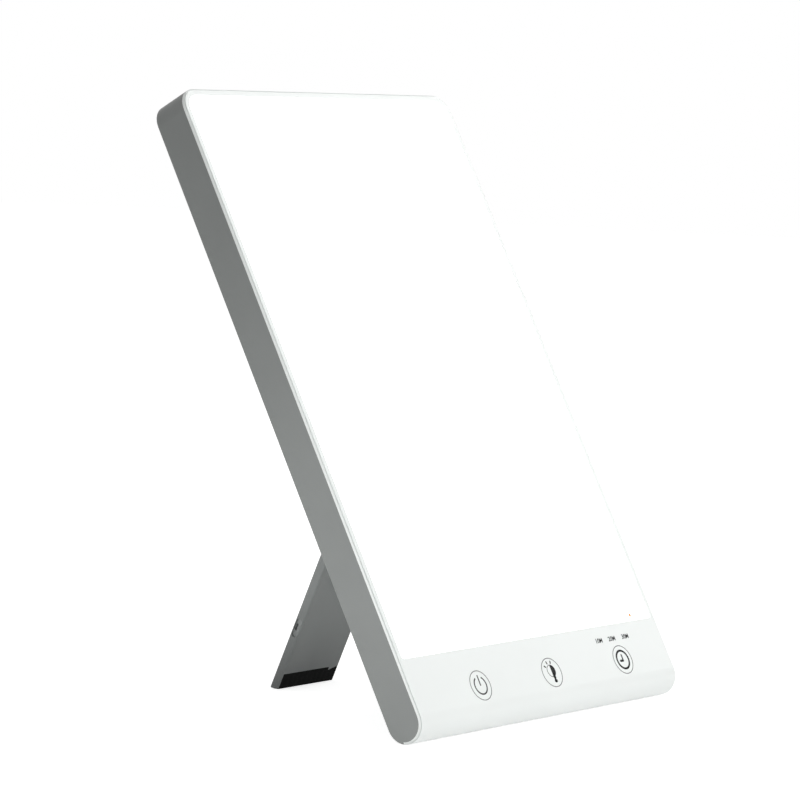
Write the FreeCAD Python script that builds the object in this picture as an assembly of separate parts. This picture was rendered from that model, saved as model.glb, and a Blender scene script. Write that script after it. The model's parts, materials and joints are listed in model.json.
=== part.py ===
"""Slim light therapy lamp: a glowing tablet that leans back on a folding rear stand.

All sizes are millimetres. The finished frame has +X to the viewer's right, +Y to the
back and +Z up, with the origin under the middle of the whole lamp, on the table.

The panel's pieces are drawn upright in panel coordinates: x from the panel's middle,
y inward from its front face and z up from its lower end. The stand's pieces are drawn
about the hinge pin: the leg hangs down z and its inner face looks along -y.
"""
import FreeCAD, Part
import math
import os

Vector = FreeCAD.Vector

# Panel, outside
PANEL_WIDTH = 152.0
PANEL_LENGTH = 240.0
PANEL_THICKNESS = 14.7
CORNER_RADIUS = 8.0
EDGE_ROUND = 0.8
LEAN_ANGLE = 28.4

# Front cover: plate, bezel and control strip that wraps round the lower end
COVER_THICKNESS = 1.0
COVER_THICKNESS_UNDER_END = 0.9
STRIP_HEIGHT = 27.0
WRAP_PAST_END_ANGLE = 26.0
BEZEL_WIDTH = 2.5
BEZEL_LIP_THICKNESS = 0.9
WINDOW_FOOT_RADIUS = 1.0
SHADOW_GROOVE_INSET = 0.3
SHADOW_GROOVE_WIDTH = 0.3
SHADOW_GROOVE_DEPTH = 0.45
SKIRT_THICKNESS = 0.7
SKIRT_DEPTH = 2.4
SKIRT_CLEARANCE = 0.1

# Rear housing
SIDE_WALL = 1.1
BACK_WALL = 1.5
SUPPORT_POST_RADIUS = 2.5
SUPPORT_POST_X = 52.0
SUPPORT_POST_HEIGHTS = (45.0, 125.0, 205.0)

# Snap catches between the cover's skirt and the housing
CATCH_LENGTH = 10.0
CATCH_HEIGHT = 0.6
CATCH_REACH = 0.4
CATCH_GROOVE_EXTRA = 0.1
CATCH_HEIGHTS = (60.0, 130.0, 200.0)
CATCH_TOP_X = 40.0

# Light stack, front to back
DIFFUSER_SINK = 0.2
DIFFUSER_BASE = 1.2
DIFFUSER_GAP = 0.1
FILM_THICKNESS = 0.25
GUIDE_THICKNESS = 2.7
REFLECTOR_THICKNESS = 0.25
SPREADER_THICKNESS = 0.8
STACK_SIDE_GAP = 0.3
GUIDE_FOOT = 25.0

# Lamp bar under the light guide
BAR_THICKNESS = 1.0
BAR_DEPTH = 2.0
BAR_FRONT = 3.3
BAR_END_GAP = 3.6
FLANGE_END_GAP = 4.0
CHIP_LENGTH = 3.0
CHIP_DEPTH = 1.4
CHIP_HEIGHT = 0.65
CHIP_COUNT = 28
CHIP_END_GAP = 2.35
CHIP_TO_GUIDE = 0.15

# Touch keys on the control strip
KEY_X = (-38.5, 2.9, 46.5)
KEY_Z = 13.4
KEY_PAD_RADIUS = 5.5
KEY_PAD_THICKNESS = 0.2
TIMER_PITCH = 8.0
TIMER_Z = 22.2
TIMER_LED_SIZE = (1.6, 1.2, 0.8)
TIMER_LED_FIT = 0.1
INDICATOR_FROM_SIDE = 14.3
INDICATOR_Z = 29.2
INDICATOR_RADIUS = 0.65
INDICATOR_FIT = 0.05

# Circuit boards and their parts
TOUCH_BOARD_THICKNESS = 0.8
TOUCH_BOARD_PAST_KEY = 11.3
TOUCH_BOARD_PAST_TIMER = 7.4
TOUCH_BOARD_HEIGHTS = (8.6, 23.6)
DRIVER_BOARD_THICKNESS = 1.0
DRIVER_BOARD_FROM_SIDE = 16.0
DRIVER_BOARD_TO_JACK = 5.4
DRIVER_BOARD_HEIGHTS = (9.0, 21.0)
DRIVER_BOARD_BACK = 8.7
TOUCH_CHIP_SIZE = (4.0, 1.0, 4.0)
TOUCH_CHIP_AT = (-14.0, 16.0)
CONTROLLER_SIZE = (6.0, 1.5, 5.0)
CONTROLLER_AT = (-6.0, 15.0)
TRANSISTOR_SIZE = (4.0, 1.2, 3.4)
TRANSISTOR_FROM_POST = 7.5
TRANSISTOR_Z = (12.0, 18.0)
INDUCTOR_SIZE = (8.0, 4.0, 8.0)
INDUCTOR_FROM_TRANSISTOR = 9.0
INDUCTOR_Z = 15.0
INDUCTOR_BEVEL = 1.2
CAPACITOR_RADIUS = 2.4
CAPACITOR_LENGTH = 8.0
CAPACITOR_FROM_END = 18.0
CAPACITOR_Z = 14.0
LINK_CONNECTOR_SIZE = (8.0, 2.6)
LINK_CONNECTOR_AT = (13.0, 17.5)
LAMP_CONNECTOR_SIZE = (4.0, 4.0, 5.0)
LAMP_CONNECTOR_FROM_END = 5.0
LAMP_CONNECTOR_Z = 18.0
WIRE_RADIUS = 0.5
LAMP_WIRE_BEND = 1.6
LAMP_WIRE_FROM_BAR_END = (1.4, 3.0)
LAMP_WIRE_Z = (17.2, 18.8)

# Housing screws and their posts
POST_RADIUS = 2.5
POST_BOARD_GAP = 0.2
BOSS_RADIUS = 3.2
POST_FROM_SIDE = 10.0
POST_FROM_RECESS = 7.1
POST_Z = 13.4
SCREW_RADIUS = 1.2
SCREW_FIT = 0.02
SCREW_HOLE_GAP = 0.2
SCREW_TIP = 4.0
SCREW_HEAD_RADIUS = 2.2
SCREW_HEAD_HEIGHT = 1.5
SCREW_HEAD_SINK = 2.0
SCREW_SLOT_WIDTH = 0.6
SCREW_SLOT_DEPTH = 0.5
SCREW_SLOT_SHARE = 0.6

# Power inlet on the right side
JACK_Z = 15.0
JACK_HEIGHT = 10.0
JACK_DEPTH = 9.0
JACK_LENGTH = 12.2
JACK_NOSE_RADIUS = 4.0
JACK_NOSE_FIT = 0.1
JACK_NOSE_SINK = 0.2
JACK_BORE_RADIUS = 3.15
JACK_BORE_DEPTH = 9.5
JACK_PIN_RADIUS = 1.05
JACK_PIN_SINK = 1.0
JACK_PIN_ROOT = 1.5
JACK_PIN_FIT = 0.02
JACK_RIB_THICKNESS = 1.0
JACK_RIB_GAP = 0.2
JACK_WIRE_Z = (13.0, 17.0)
JACK_WIRE_OVER_BOARD = 3.0

# Stand
LEG_WIDTH = 32.0
LEG_THICKNESS = 3.6
LEG_OPEN_ANGLE = 52.2
LEG_EDGE_ROUND = 0.8
HINGE_HEIGHT = 122.0
HEEL_LENGTH = 3.2
BARREL_WIDTH = 24.0
SHOULDER_DROP = 3.2
STOP_GAP = 0.15
SLOT_FROM_FOOT = 26.2
SLOT_LENGTH = 7.4
SLOT_WIDTH = 2.6
SLOT_DEPTH = 0.8
SLOT_FORWARD = 0.15
POCKET_LENGTH = 2.8
POCKET_WIDTH = 0.9
POCKET_DEPTH = 2.0
POCKET_FROM_SLOT_BACK = 0.15

# Foot pad in the lower inner corner of the leg
PAD_HEIGHT = 6.2
PAD_DEPTH = 2.2
PAD_SIDE_WALL = 0.6
PAD_BELOW_LEG = 0.3
PAD_NICK_FROM_END = 5.0
PAD_NICK_DROP = 1.3
PAD_FIT = 0.02

# Leg recess in the back of the housing
RECESS_DEPTH = 4.6
RECESS_SIDE_GAP = 0.4
RECESS_FOOT_GAP = 0.6
RECESS_HEEL_GAP = 0.4
RECESS_WALL = 1.2
SCOOP_RADIUS = 8.0
SCOOP_DEPTH = 3.2

# Hinge
PIN_RADIUS = 0.9
PIN_FIT = 0.05
PIN_PRESS_GAP = 0.02
PIN_HEAD_RADIUS = 1.5
PIN_HEAD_LENGTH = 0.5
PIN_END_REACH = 1.0
BRACKET_THICKNESS = 1.2
EAR_HALF_WIDTH = 2.4
EAR_PLAY = 0.05
WASHER_THICKNESS = 0.3
WASHER_RADIUS = 1.6
CLIP_THICKNESS = 0.4
CLIP_RADIUS = 1.6
CLIP_MOUTH = 1.4
BRACKET_DROP = 13.0
BRACKET_RISE = 3.4
BRACKET_SIDE_GAP = 0.2
BRACKET_SCREW_X = 8.0
BRACKET_SCREW_DROP = 9.0
BRACKET_SCREW_RADIUS = 0.95
BRACKET_SCREW_LENGTH = 2.6
BRACKET_HEAD_RADIUS = 1.9
BRACKET_HEAD_SINK = 0.1
BRACKET_BOSS_RADIUS = 2.6
BRACKET_BOSS_HEIGHT = 1.4
EAR_ROOT_BELOW_PIN = 0.9

# Places that follow from the sizes above
HALF_WIDTH = PANEL_WIDTH / 2
END_RADIUS = PANEL_THICKNESS / 2
CUT = 2.0
NEAR = 0.001
INNER_BACK = PANEL_THICKNESS - BACK_WALL
SKIRT_OUTER_INSET = SIDE_WALL + SKIRT_CLEARANCE
SKIRT_INNER_INSET = SKIRT_OUTER_INSET + SKIRT_THICKNESS
DIFFUSER_INSET = SKIRT_INNER_INSET + DIFFUSER_GAP
DIFFUSER_BACK = BEZEL_LIP_THICKNESS + DIFFUSER_BASE
GUIDE_FRONT = DIFFUSER_BACK + FILM_THICKNESS
GUIDE_BACK = GUIDE_FRONT + GUIDE_THICKNESS
SPREADER_FRONT = GUIDE_BACK + REFLECTOR_THICKNESS
SPREADER_BACK = SPREADER_FRONT + SPREADER_THICKNESS
STACK_INSET = SKIRT_INNER_INSET + STACK_SIDE_GAP
CHIP_TOP = GUIDE_FOOT - CHIP_TO_GUIDE
BAR_TOP = CHIP_TOP - CHIP_HEIGHT
BAR_FOOT = BAR_TOP - BAR_THICKNESS
FLANGE_FOOT = BAR_FOOT - SPREADER_THICKNESS
TOUCH_BOARD_FRONT = COVER_THICKNESS + KEY_PAD_THICKNESS
TOUCH_BOARD_BACK = TOUCH_BOARD_FRONT + TOUCH_BOARD_THICKNESS
DRIVER_BOARD_FRONT = DRIVER_BOARD_BACK - DRIVER_BOARD_THICKNESS
RECESS_FLOOR = PANEL_THICKNESS - RECESS_DEPTH
RECESS_HALF_WIDTH = LEG_WIDTH / 2 + RECESS_SIDE_GAP
PIN_Y = PANEL_THICKNESS - LEG_THICKNESS / 2
EAR_INNER = BARREL_WIDTH / 2 + WASHER_THICKNESS + 2 * EAR_PLAY
EAR_OUTER = EAR_INNER + BRACKET_THICKNESS
BRACKET_SEAT = RECESS_FLOOR - BRACKET_THICKNESS
BAR_HALF = HALF_WIDTH - STACK_INSET - BAR_END_GAP
FLANGE_HALF = BAR_HALF - FLANGE_END_GAP
CHIP_PITCH = 2 * (BAR_HALF - CHIP_END_GAP - CHIP_LENGTH / 2) / (CHIP_COUNT - 1)
TIMER_X = (KEY_X[2] - TIMER_PITCH, KEY_X[2], KEY_X[2] + TIMER_PITCH)
INDICATOR_X = HALF_WIDTH - INDICATOR_FROM_SIDE
POST_INNER_X = RECESS_HALF_WIDTH + POST_FROM_RECESS
POST_PLACES = ((POST_FROM_SIDE - HALF_WIDTH, POST_Z), (-POST_INNER_X, POST_Z), (POST_INNER_X, POST_Z))
TOUCH_BOARD_SPAN = (KEY_X[0] - TOUCH_BOARD_PAST_KEY, TIMER_X[-1] + TOUCH_BOARD_PAST_TIMER)
JACK_Y = INNER_BACK - JACK_DEPTH / 2
JACK_WALL_X = HALF_WIDTH - SIDE_WALL
JACK_MOUTH_X = HALF_WIDTH - JACK_NOSE_SINK
JACK_INNER_X = JACK_WALL_X - JACK_LENGTH
JACK_RIB_X = JACK_INNER_X - JACK_RIB_GAP
DRIVER_LEFT = DRIVER_BOARD_FROM_SIDE - HALF_WIDTH
DRIVER_RIGHT = JACK_RIB_X - JACK_RIB_THICKNESS - DRIVER_BOARD_TO_JACK
TRANSISTOR_X = POST_INNER_X + TRANSISTOR_FROM_POST
TRANSISTOR_AT = [(TRANSISTOR_X, z) for z in TRANSISTOR_Z]
INDUCTOR_AT = (TRANSISTOR_X + INDUCTOR_FROM_TRANSISTOR, INDUCTOR_Z)
CAPACITOR_AT = (DRIVER_LEFT + CAPACITOR_FROM_END, CAPACITOR_Z)
LAMP_CONNECTOR_AT = (DRIVER_LEFT + LAMP_CONNECTOR_FROM_END, LAMP_CONNECTOR_Z)

LEAN = math.radians(LEAN_ANGLE)
LEG_LEAN = math.radians(LEG_OPEN_ANGLE - LEAN_ANGLE)
OPEN = math.radians(LEG_OPEN_ANGLE)
PIN_WORLD_Y = (PIN_Y - END_RADIUS) * math.cos(LEAN) + (HINGE_HEIGHT - END_RADIUS) * math.sin(LEAN)
PIN_WORLD_Z = (END_RADIUS + (HINGE_HEIGHT - END_RADIUS) * math.cos(LEAN)
               - (PIN_Y - END_RADIUS) * math.sin(LEAN))
TOP_ROUND_Y = ((PANEL_LENGTH - END_RADIUS - EDGE_ROUND) * math.sin(LEAN)
               + (END_RADIUS - EDGE_ROUND) * math.cos(LEAN))
MIDDLE_Y = (TOP_ROUND_Y + EDGE_ROUND - END_RADIUS) / 2

PANEL_PLACE = FreeCAD.Placement(
    Vector(0, -MIDDLE_Y, END_RADIUS), FreeCAD.Rotation(Vector(1, 0, 0), -LEAN_ANGLE)
).multiply(FreeCAD.Placement(Vector(0, -END_RADIUS, -END_RADIUS), FreeCAD.Rotation()))
STAND_PLACE = FreeCAD.Placement(
    Vector(0, PIN_WORLD_Y - MIDDLE_Y, PIN_WORLD_Z),
    FreeCAD.Rotation(Vector(1, 0, 0), LEG_OPEN_ANGLE - LEAN_ANGLE),
)


def box(x_span, y_span, z_span):
    """Block between two values on each axis."""
    corner = Vector(x_span[0], y_span[0], z_span[0])
    return Part.makeBox(x_span[1] - x_span[0], y_span[1] - y_span[0], z_span[1] - z_span[0], corner)


def centred_box(x, z, y_span, width, height):
    """Block centred on x and z in panel coordinates."""
    return box((x - width / 2, x + width / 2), y_span, (z - height / 2, z + height / 2))


def rod(radius, start, end):
    """Round bar between two points."""
    axis = end.sub(start)
    return Part.makeCylinder(radius, axis.Length, start, axis)


def depth_rod(radius, x, z, y_span):
    """Round bar that runs front to back in the panel."""
    return rod(radius, Vector(x, y_span[0], z), Vector(x, y_span[1], z))


def cross_rod(radius, x_span, y, z):
    """Round bar that runs from left to right."""
    return rod(radius, Vector(x_span[0], y, z), Vector(x_span[1], y, z))


def prism(points, direction):
    """Straight-sided block swept from a closed outline."""
    face = Part.Face(Part.makePolygon(points + [points[0]]))
    return face.extrude(direction)


def end_arc(radius, from_angle, to_angle, drop=0.0):
    """Arc of the lower end in the side view, its centre dropped; 90 degrees is the front, -90 the back."""

    def point(angle):
        turn = math.radians(angle)
        return Vector(0, END_RADIUS - radius * math.sin(turn), END_RADIUS - drop - radius * math.cos(turn))

    return Part.Arc(point(from_angle), point((from_angle + to_angle) / 2), point(to_angle)).toShape()


def side_prism(edges, half_width):
    """Block with the given side view, from -half_width to +half_width."""
    wire = Part.Wire(edges)
    face = Part.Face(wire)
    face.translate(Vector(-half_width, 0, 0))
    return face.extrude(Vector(2 * half_width, 0, 0))


def full_side_view(front, back_inset, top_z):
    """Closed side view: flat front, round lower end and flat back."""
    front_radius = END_RADIUS - front
    back_radius = END_RADIUS - back_inset
    back = PANEL_THICKNESS - back_inset
    edges = [
        Part.makeLine(Vector(0, front, top_z), Vector(0, front, END_RADIUS)),
        end_arc(front_radius, 90, 0),
    ]
    if front_radius != back_radius:
        edges.append(Part.makeLine(edges[-1].Vertexes[-1].Point, Vector(0, END_RADIUS, back_inset)))
    edges.append(end_arc(back_radius, 0, -90))
    edges.append(Part.makeLine(Vector(0, back, END_RADIUS), Vector(0, back, top_z)))
    edges.append(Part.makeLine(Vector(0, back, top_z), Vector(0, front, top_z)))
    return edges


def plan_prism(inset, foot_z, y_span, foot_radius=0.0):
    """Block with the panel's front view: top corners rounded, cut off level at foot_z."""
    half = HALF_WIDTH - inset
    top = PANEL_LENGTH - inset
    radius = CORNER_RADIUS - inset
    start_y = y_span[0]
    bend = radius * (1 - math.sqrt(0.5))
    foot_bend = foot_radius * (1 - math.sqrt(0.5))

    def at(x, z):
        return Vector(x, start_y, z)

    edges = [
        Part.makeLine(at(-half, foot_z + foot_radius), at(-half, top - radius)),
        Part.Arc(at(-half, top - radius), at(-half + bend, top - bend), at(-half + radius, top)).toShape(),
        Part.makeLine(at(-half + radius, top), at(half - radius, top)),
        Part.Arc(at(half - radius, top), at(half - bend, top - bend), at(half, top - radius)).toShape(),
        Part.makeLine(at(half, top - radius), at(half, foot_z + foot_radius)),
    ]
    if foot_radius > 0:
        corner = at(half - foot_bend, foot_z + foot_bend)
        edges.append(Part.Arc(edges[-1].Vertexes[-1].Point, corner, at(half - foot_radius, foot_z)).toShape())
    edges.append(Part.makeLine(at(half - foot_radius, foot_z), at(-half + foot_radius, foot_z)))
    if foot_radius > 0:
        corner = at(-half + foot_bend, foot_z + foot_bend)
        start = at(-half + foot_radius, foot_z)
        edges.append(Part.Arc(start, corner, at(-half, foot_z + foot_radius)).toShape())
    return Part.Face(Part.Wire(edges)).extrude(Vector(0, y_span[1] - y_span[0], 0))


def panel_block():
    """The whole panel as one solid, with its outer edges slightly rounded."""
    block = side_prism(full_side_view(0, 0, PANEL_LENGTH), HALF_WIDTH)
    plan = plan_prism(0, -CUT, (-CUT, PANEL_THICKNESS + CUT))
    block = block.common(plan)
    solid = block.Solids[0]
    side_x = HALF_WIDTH - NEAR
    rim = []
    for edge in solid.Edges:
        bounds = edge.BoundBox
        on_side = bounds.XMin > side_x or bounds.XMax < -side_x
        on_front = bounds.YMax < NEAR
        on_back = bounds.YMin > PANEL_THICKNESS - NEAR
        round_end = bounds.ZMax < END_RADIUS + NEAR and on_side
        at_foot = bounds.ZMax < END_RADIUS + NEAR and not on_side
        if round_end or ((on_front or on_back) and not at_foot):
            rim.append(edge)
    return solid.makeFillet(EDGE_ROUND, rim)


def rear_zone():
    """Space behind the parting line between the front cover and the rear housing."""
    inner = END_RADIUS - COVER_THICKNESS
    drop = COVER_THICKNESS - COVER_THICKNESS_UNDER_END
    wrap = -WRAP_PAST_END_ANGLE
    top = PANEL_LENGTH + CUT
    back = PANEL_THICKNESS + CUT
    inner_arc = end_arc(inner, 90, wrap, drop)
    outer_arc = end_arc(END_RADIUS + CUT, wrap, -90)
    edges = [
        Part.makeLine(Vector(0, COVER_THICKNESS, top), inner_arc.Vertexes[0].Point),
        inner_arc,
        Part.makeLine(inner_arc.Vertexes[-1].Point, outer_arc.Vertexes[0].Point),
        outer_arc,
        Part.makeLine(Vector(0, back, END_RADIUS), Vector(0, back, top)),
        Part.makeLine(Vector(0, back, top), Vector(0, COVER_THICKNESS, top)),
    ]
    return side_prism(edges, HALF_WIDTH + CUT)


def floor_drop(y, lift=0.0):
    """Height in stand coordinates of the table, or of a level lift above it, at depth y."""
    return (lift - PIN_WORLD_Z - y * math.sin(LEG_LEAN)) / math.cos(LEG_LEAN)


def leg_reach():
    """Longest distance from the hinge pin to the end of the leg."""
    return -floor_drop(LEG_THICKNESS / 2)


def recess_foot():
    """Lower end of the leg recess in panel coordinates."""
    return HINGE_HEIGHT - leg_reach() - RECESS_FOOT_GAP


def recess_head():
    """Upper end of the leg recess, past the swing of the leg's heel."""
    heel_swing = math.hypot(HEEL_LENGTH, LEG_THICKNESS / 2)
    return HINGE_HEIGHT + heel_swing + RECESS_HEEL_GAP


def bracket_span():
    """Lower and upper ends of the hinge bracket in panel coordinates."""
    return (HINGE_HEIGHT - BRACKET_DROP, HINGE_HEIGHT + BRACKET_RISE)


def scoop_height():
    """Height of the finger scoop, beside the slot in the folded leg's edge."""
    return HINGE_HEIGHT - leg_reach() + SLOT_FROM_FOOT


def recess_space():
    """Space that is cut from the back for the folded leg, the bracket and a finger."""
    half = RECESS_HALF_WIDTH
    back = PANEL_THICKNESS + CUT
    space = box((-half, half), (RECESS_FLOOR, back), (recess_foot(), recess_head()))
    low, high = bracket_span()
    bracket_half = EAR_OUTER + BRACKET_SIDE_GAP
    seat = box((-bracket_half, bracket_half), (BRACKET_SEAT, back), (low - BRACKET_SIDE_GAP, high))
    scoop = depth_rod(SCOOP_RADIUS, -half, scoop_height(), (PANEL_THICKNESS - SCOOP_DEPTH, back))
    return space.fuse([seat, scoop])


def recess_tub():
    """Material that lines the leg recess inside the housing."""
    half = RECESS_HALF_WIDTH + RECESS_WALL
    foot = recess_foot() - RECESS_WALL
    head = recess_head() + RECESS_WALL
    tub = box((-half, half), (RECESS_FLOOR - RECESS_WALL, PANEL_THICKNESS), (foot, head))
    low, high = bracket_span()
    bracket_half = EAR_OUTER + BRACKET_SIDE_GAP + RECESS_WALL
    seat_span = (BRACKET_SEAT - RECESS_WALL, PANEL_THICKNESS)
    seat = box((-bracket_half, bracket_half), seat_span, (low - BRACKET_SIDE_GAP - RECESS_WALL, head))
    scoop_span = (PANEL_THICKNESS - SCOOP_DEPTH - RECESS_WALL, PANEL_THICKNESS)
    scoop = depth_rod(SCOOP_RADIUS + RECESS_WALL, -RECESS_HALF_WIDTH, scoop_height(), scoop_span)
    bosses = []
    boss_span = (BRACKET_SEAT - RECESS_WALL - BRACKET_BOSS_HEIGHT, BRACKET_SEAT)
    for x in (-BRACKET_SCREW_X, BRACKET_SCREW_X):
        bosses.append(depth_rod(BRACKET_BOSS_RADIUS, x, HINGE_HEIGHT - BRACKET_SCREW_DROP, boss_span))
    return tub.fuse([seat, scoop] + bosses)


def catch_bars(reach, extra):
    """Bars on the skirt's outer face, or the wider grooves that take them."""
    front = COVER_THICKNESS + (SKIRT_DEPTH - CATCH_HEIGHT) / 2
    y_span = (front - extra, front + CATCH_HEIGHT + extra)
    half_length = CATCH_LENGTH / 2 + extra
    inner = HALF_WIDTH - SKIRT_OUTER_INSET
    bars = []
    for z in CATCH_HEIGHTS:
        z_span = (z - half_length, z + half_length)
        bars.append(box((inner - extra, inner + reach), y_span, z_span))
        bars.append(box((-inner - reach, -inner + extra), y_span, z_span))
    top = PANEL_LENGTH - SKIRT_OUTER_INSET
    for x in (-CATCH_TOP_X, CATCH_TOP_X):
        bars.append(box((x - half_length, x + half_length), y_span, (top - extra, top + reach)))
    return bars


def rear_housing(block):
    """Grey rear shell with the leg recess, screw bosses, support posts and inlet hole."""
    zone = rear_zone()
    shell = block.common(zone)
    cavity = side_prism(full_side_view(-CUT, BACK_WALL, PANEL_LENGTH + CUT), HALF_WIDTH - SIDE_WALL)
    cavity = cavity.common(plan_prism(SIDE_WALL, -CUT, (-2 * CUT, PANEL_THICKNESS)))
    shell = shell.cut(cavity)
    inner_fill = block.common(zone)
    added = [recess_tub().common(inner_fill)]
    for x, z in POST_PLACES:
        added.append(depth_rod(BOSS_RADIUS, x, z, (DRIVER_BOARD_BACK, INNER_BACK)))
    for z in SUPPORT_POST_HEIGHTS:
        for x in (-SUPPORT_POST_X, SUPPORT_POST_X):
            added.append(depth_rod(SUPPORT_POST_RADIUS, x, z, (SPREADER_BACK, INNER_BACK)))
    added.append(depth_rod(SUPPORT_POST_RADIUS, 0, SUPPORT_POST_HEIGHTS[-1], (SPREADER_BACK, INNER_BACK)))
    rib_z = (JACK_Z - JACK_HEIGHT / 2, JACK_Z + JACK_HEIGHT / 2)
    added.append(box((JACK_RIB_X - JACK_RIB_THICKNESS, JACK_RIB_X), (JACK_Y, INNER_BACK), rib_z))
    shell = shell.fuse(added)
    removed = [recess_space()]
    for x, z in POST_PLACES:
        removed.append(depth_rod(SCREW_RADIUS + SCREW_HOLE_GAP, x, z, (0, PANEL_THICKNESS)))
        sink_span = (PANEL_THICKNESS - SCREW_HEAD_SINK, PANEL_THICKNESS + CUT)
        removed.append(depth_rod(SCREW_HEAD_RADIUS + SCREW_HOLE_GAP, x, z, sink_span))
    for x in (-BRACKET_SCREW_X, BRACKET_SCREW_X):
        z = HINGE_HEIGHT - BRACKET_SCREW_DROP
        tip = RECESS_FLOOR - BRACKET_THICKNESS - BRACKET_SCREW_LENGTH
        removed.append(depth_rod(BRACKET_SCREW_RADIUS + SCREW_FIT, x, z, (tip, PANEL_THICKNESS)))
    nose_span = (JACK_WALL_X - CUT, HALF_WIDTH + CUT)
    removed.append(cross_rod(JACK_NOSE_RADIUS + JACK_NOSE_FIT, nose_span, JACK_Y, JACK_Z))
    removed += catch_bars(CATCH_REACH + CATCH_GROOVE_EXTRA, CATCH_GROOVE_EXTRA)
    return shell.cut(removed)


def shadow_groove():
    """Fine groove that frames the front and runs down round the lower end."""
    depth = SHADOW_GROOVE_DEPTH
    outer = side_prism(full_side_view(-CUT, -CUT, PANEL_LENGTH + CUT), HALF_WIDTH)
    inner = side_prism(full_side_view(depth, depth, PANEL_LENGTH + 2 * CUT), HALF_WIDTH + CUT)
    band = outer.cut(inner)
    y_span = (-2 * CUT, PANEL_THICKNESS + 2 * CUT)
    ring = plan_prism(SHADOW_GROOVE_INSET, -2 * CUT, y_span)
    hole = plan_prism(SHADOW_GROOVE_INSET + SHADOW_GROOVE_WIDTH, -3 * CUT, y_span)
    return band.common(ring.cut(hole))


def front_cover(block):
    """White cover: bezel, control strip wrapped round the lower end, skirt, catches and posts."""
    cover = block.cut(rear_zone())
    skirt_span = (COVER_THICKNESS, COVER_THICKNESS + SKIRT_DEPTH)
    skirt = plan_prism(SKIRT_OUTER_INSET, END_RADIUS, skirt_span)
    inside = plan_prism(SKIRT_INNER_INSET, 0, (skirt_span[0] - CUT, skirt_span[1] + CUT))
    skirt = skirt.cut(inside)
    added = [skirt] + catch_bars(CATCH_REACH, 0)
    for x, z in POST_PLACES:
        added.append(depth_rod(POST_RADIUS, x, z, (COVER_THICKNESS, DRIVER_BOARD_BACK)))
    cover = cover.fuse(added)
    window = plan_prism(BEZEL_WIDTH, STRIP_HEIGHT, (-CUT, COVER_THICKNESS + CUT), WINDOW_FOOT_RADIUS)
    overlap = BEZEL_WIDTH - SKIRT_INNER_INSET
    rebate_span = (BEZEL_LIP_THICKNESS, COVER_THICKNESS + SKIRT_DEPTH + CUT)
    rebate = plan_prism(SKIRT_INNER_INSET, STRIP_HEIGHT - overlap, rebate_span)
    removed = [window, rebate, shadow_groove()]
    for x, z in POST_PLACES:
        removed.append(depth_rod(SCREW_RADIUS + SCREW_FIT, x, z, (SCREW_TIP, DRIVER_BOARD_BACK + CUT)))
    return cover.cut(removed)


def diffuser_panel():
    """Opal plate: a land that fills the bezel's window on a wider base behind it."""
    land_inset = BEZEL_WIDTH + DIFFUSER_GAP
    land_span = (DIFFUSER_SINK, BEZEL_LIP_THICKNESS)
    land = plan_prism(land_inset, STRIP_HEIGHT + DIFFUSER_GAP, land_span, WINDOW_FOOT_RADIUS)
    overlap = BEZEL_WIDTH - DIFFUSER_INSET
    base = plan_prism(DIFFUSER_INSET, STRIP_HEIGHT - overlap, (BEZEL_LIP_THICKNESS, DIFFUSER_BACK))
    hole = depth_rod(INDICATOR_RADIUS + INDICATOR_FIT, INDICATOR_X, INDICATOR_Z, (0, DIFFUSER_BACK + CUT))
    return land.fuse(base).cut(hole)


def stack_sheet(front, thickness):
    """Sheet of the light stack behind the diffuser."""
    return plan_prism(STACK_INSET, GUIDE_FOOT, (front, front + thickness))


def heat_spreader():
    """Metal back sheet with a folded flange that carries the lamp bar."""
    sheet = plan_prism(STACK_INSET, FLANGE_FOOT, (SPREADER_FRONT, SPREADER_BACK))
    flange_span = (-FLANGE_HALF, FLANGE_HALF)
    flange = box(flange_span, (BAR_FRONT, SPREADER_BACK), (FLANGE_FOOT, BAR_FOOT))
    return sheet.fuse(flange).removeSplitter()


def lamp_bar():
    """Strip board that carries the row of white lamps."""
    return box((-BAR_HALF, BAR_HALF), (BAR_FRONT, BAR_FRONT + BAR_DEPTH), (BAR_FOOT, BAR_TOP))


def lamp_chips():
    """White lamp packages that shine up into the light guide."""
    front = BAR_FRONT + (BAR_DEPTH - CHIP_DEPTH) / 2
    y_span = (front, front + CHIP_DEPTH)
    middle = (CHIP_COUNT - 1) / 2
    chips = []
    for index in range(CHIP_COUNT):
        x = (index - middle) * CHIP_PITCH
        chips.append(box((x - CHIP_LENGTH / 2, x + CHIP_LENGTH / 2), y_span, (BAR_TOP, CHIP_TOP)))
    return Part.makeCompound(chips)


def touch_pads():
    """Copper pads behind the three touch keys."""
    span = (COVER_THICKNESS, TOUCH_BOARD_FRONT)
    return Part.makeCompound([depth_rod(KEY_PAD_RADIUS, x, KEY_Z, span) for x in KEY_X])


def post_holes(y_span):
    """Clearance holes for the cover's screw posts."""
    return [depth_rod(POST_RADIUS + POST_BOARD_GAP, x, z, y_span) for x, z in POST_PLACES]


def touch_board():
    """Circuit board behind the control strip."""
    board = box(TOUCH_BOARD_SPAN, (TOUCH_BOARD_FRONT, TOUCH_BOARD_BACK), TOUCH_BOARD_HEIGHTS)
    removed = post_holes((0, PANEL_THICKNESS))
    width, _, height = TIMER_LED_SIZE
    fit = 2 * TIMER_LED_FIT
    for x in TIMER_X:
        removed.append(centred_box(x, TIMER_Z, (0, PANEL_THICKNESS), width + fit, height + fit))
    return board.cut(removed)


def timer_leds():
    """Three small lamps behind the timer marks, set in the board's windows."""
    width, depth, height = TIMER_LED_SIZE
    y_span = (TOUCH_BOARD_FRONT, TOUCH_BOARD_FRONT + depth)
    return Part.makeCompound([centred_box(x, TIMER_Z, y_span, width, height) for x in TIMER_X])


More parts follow.
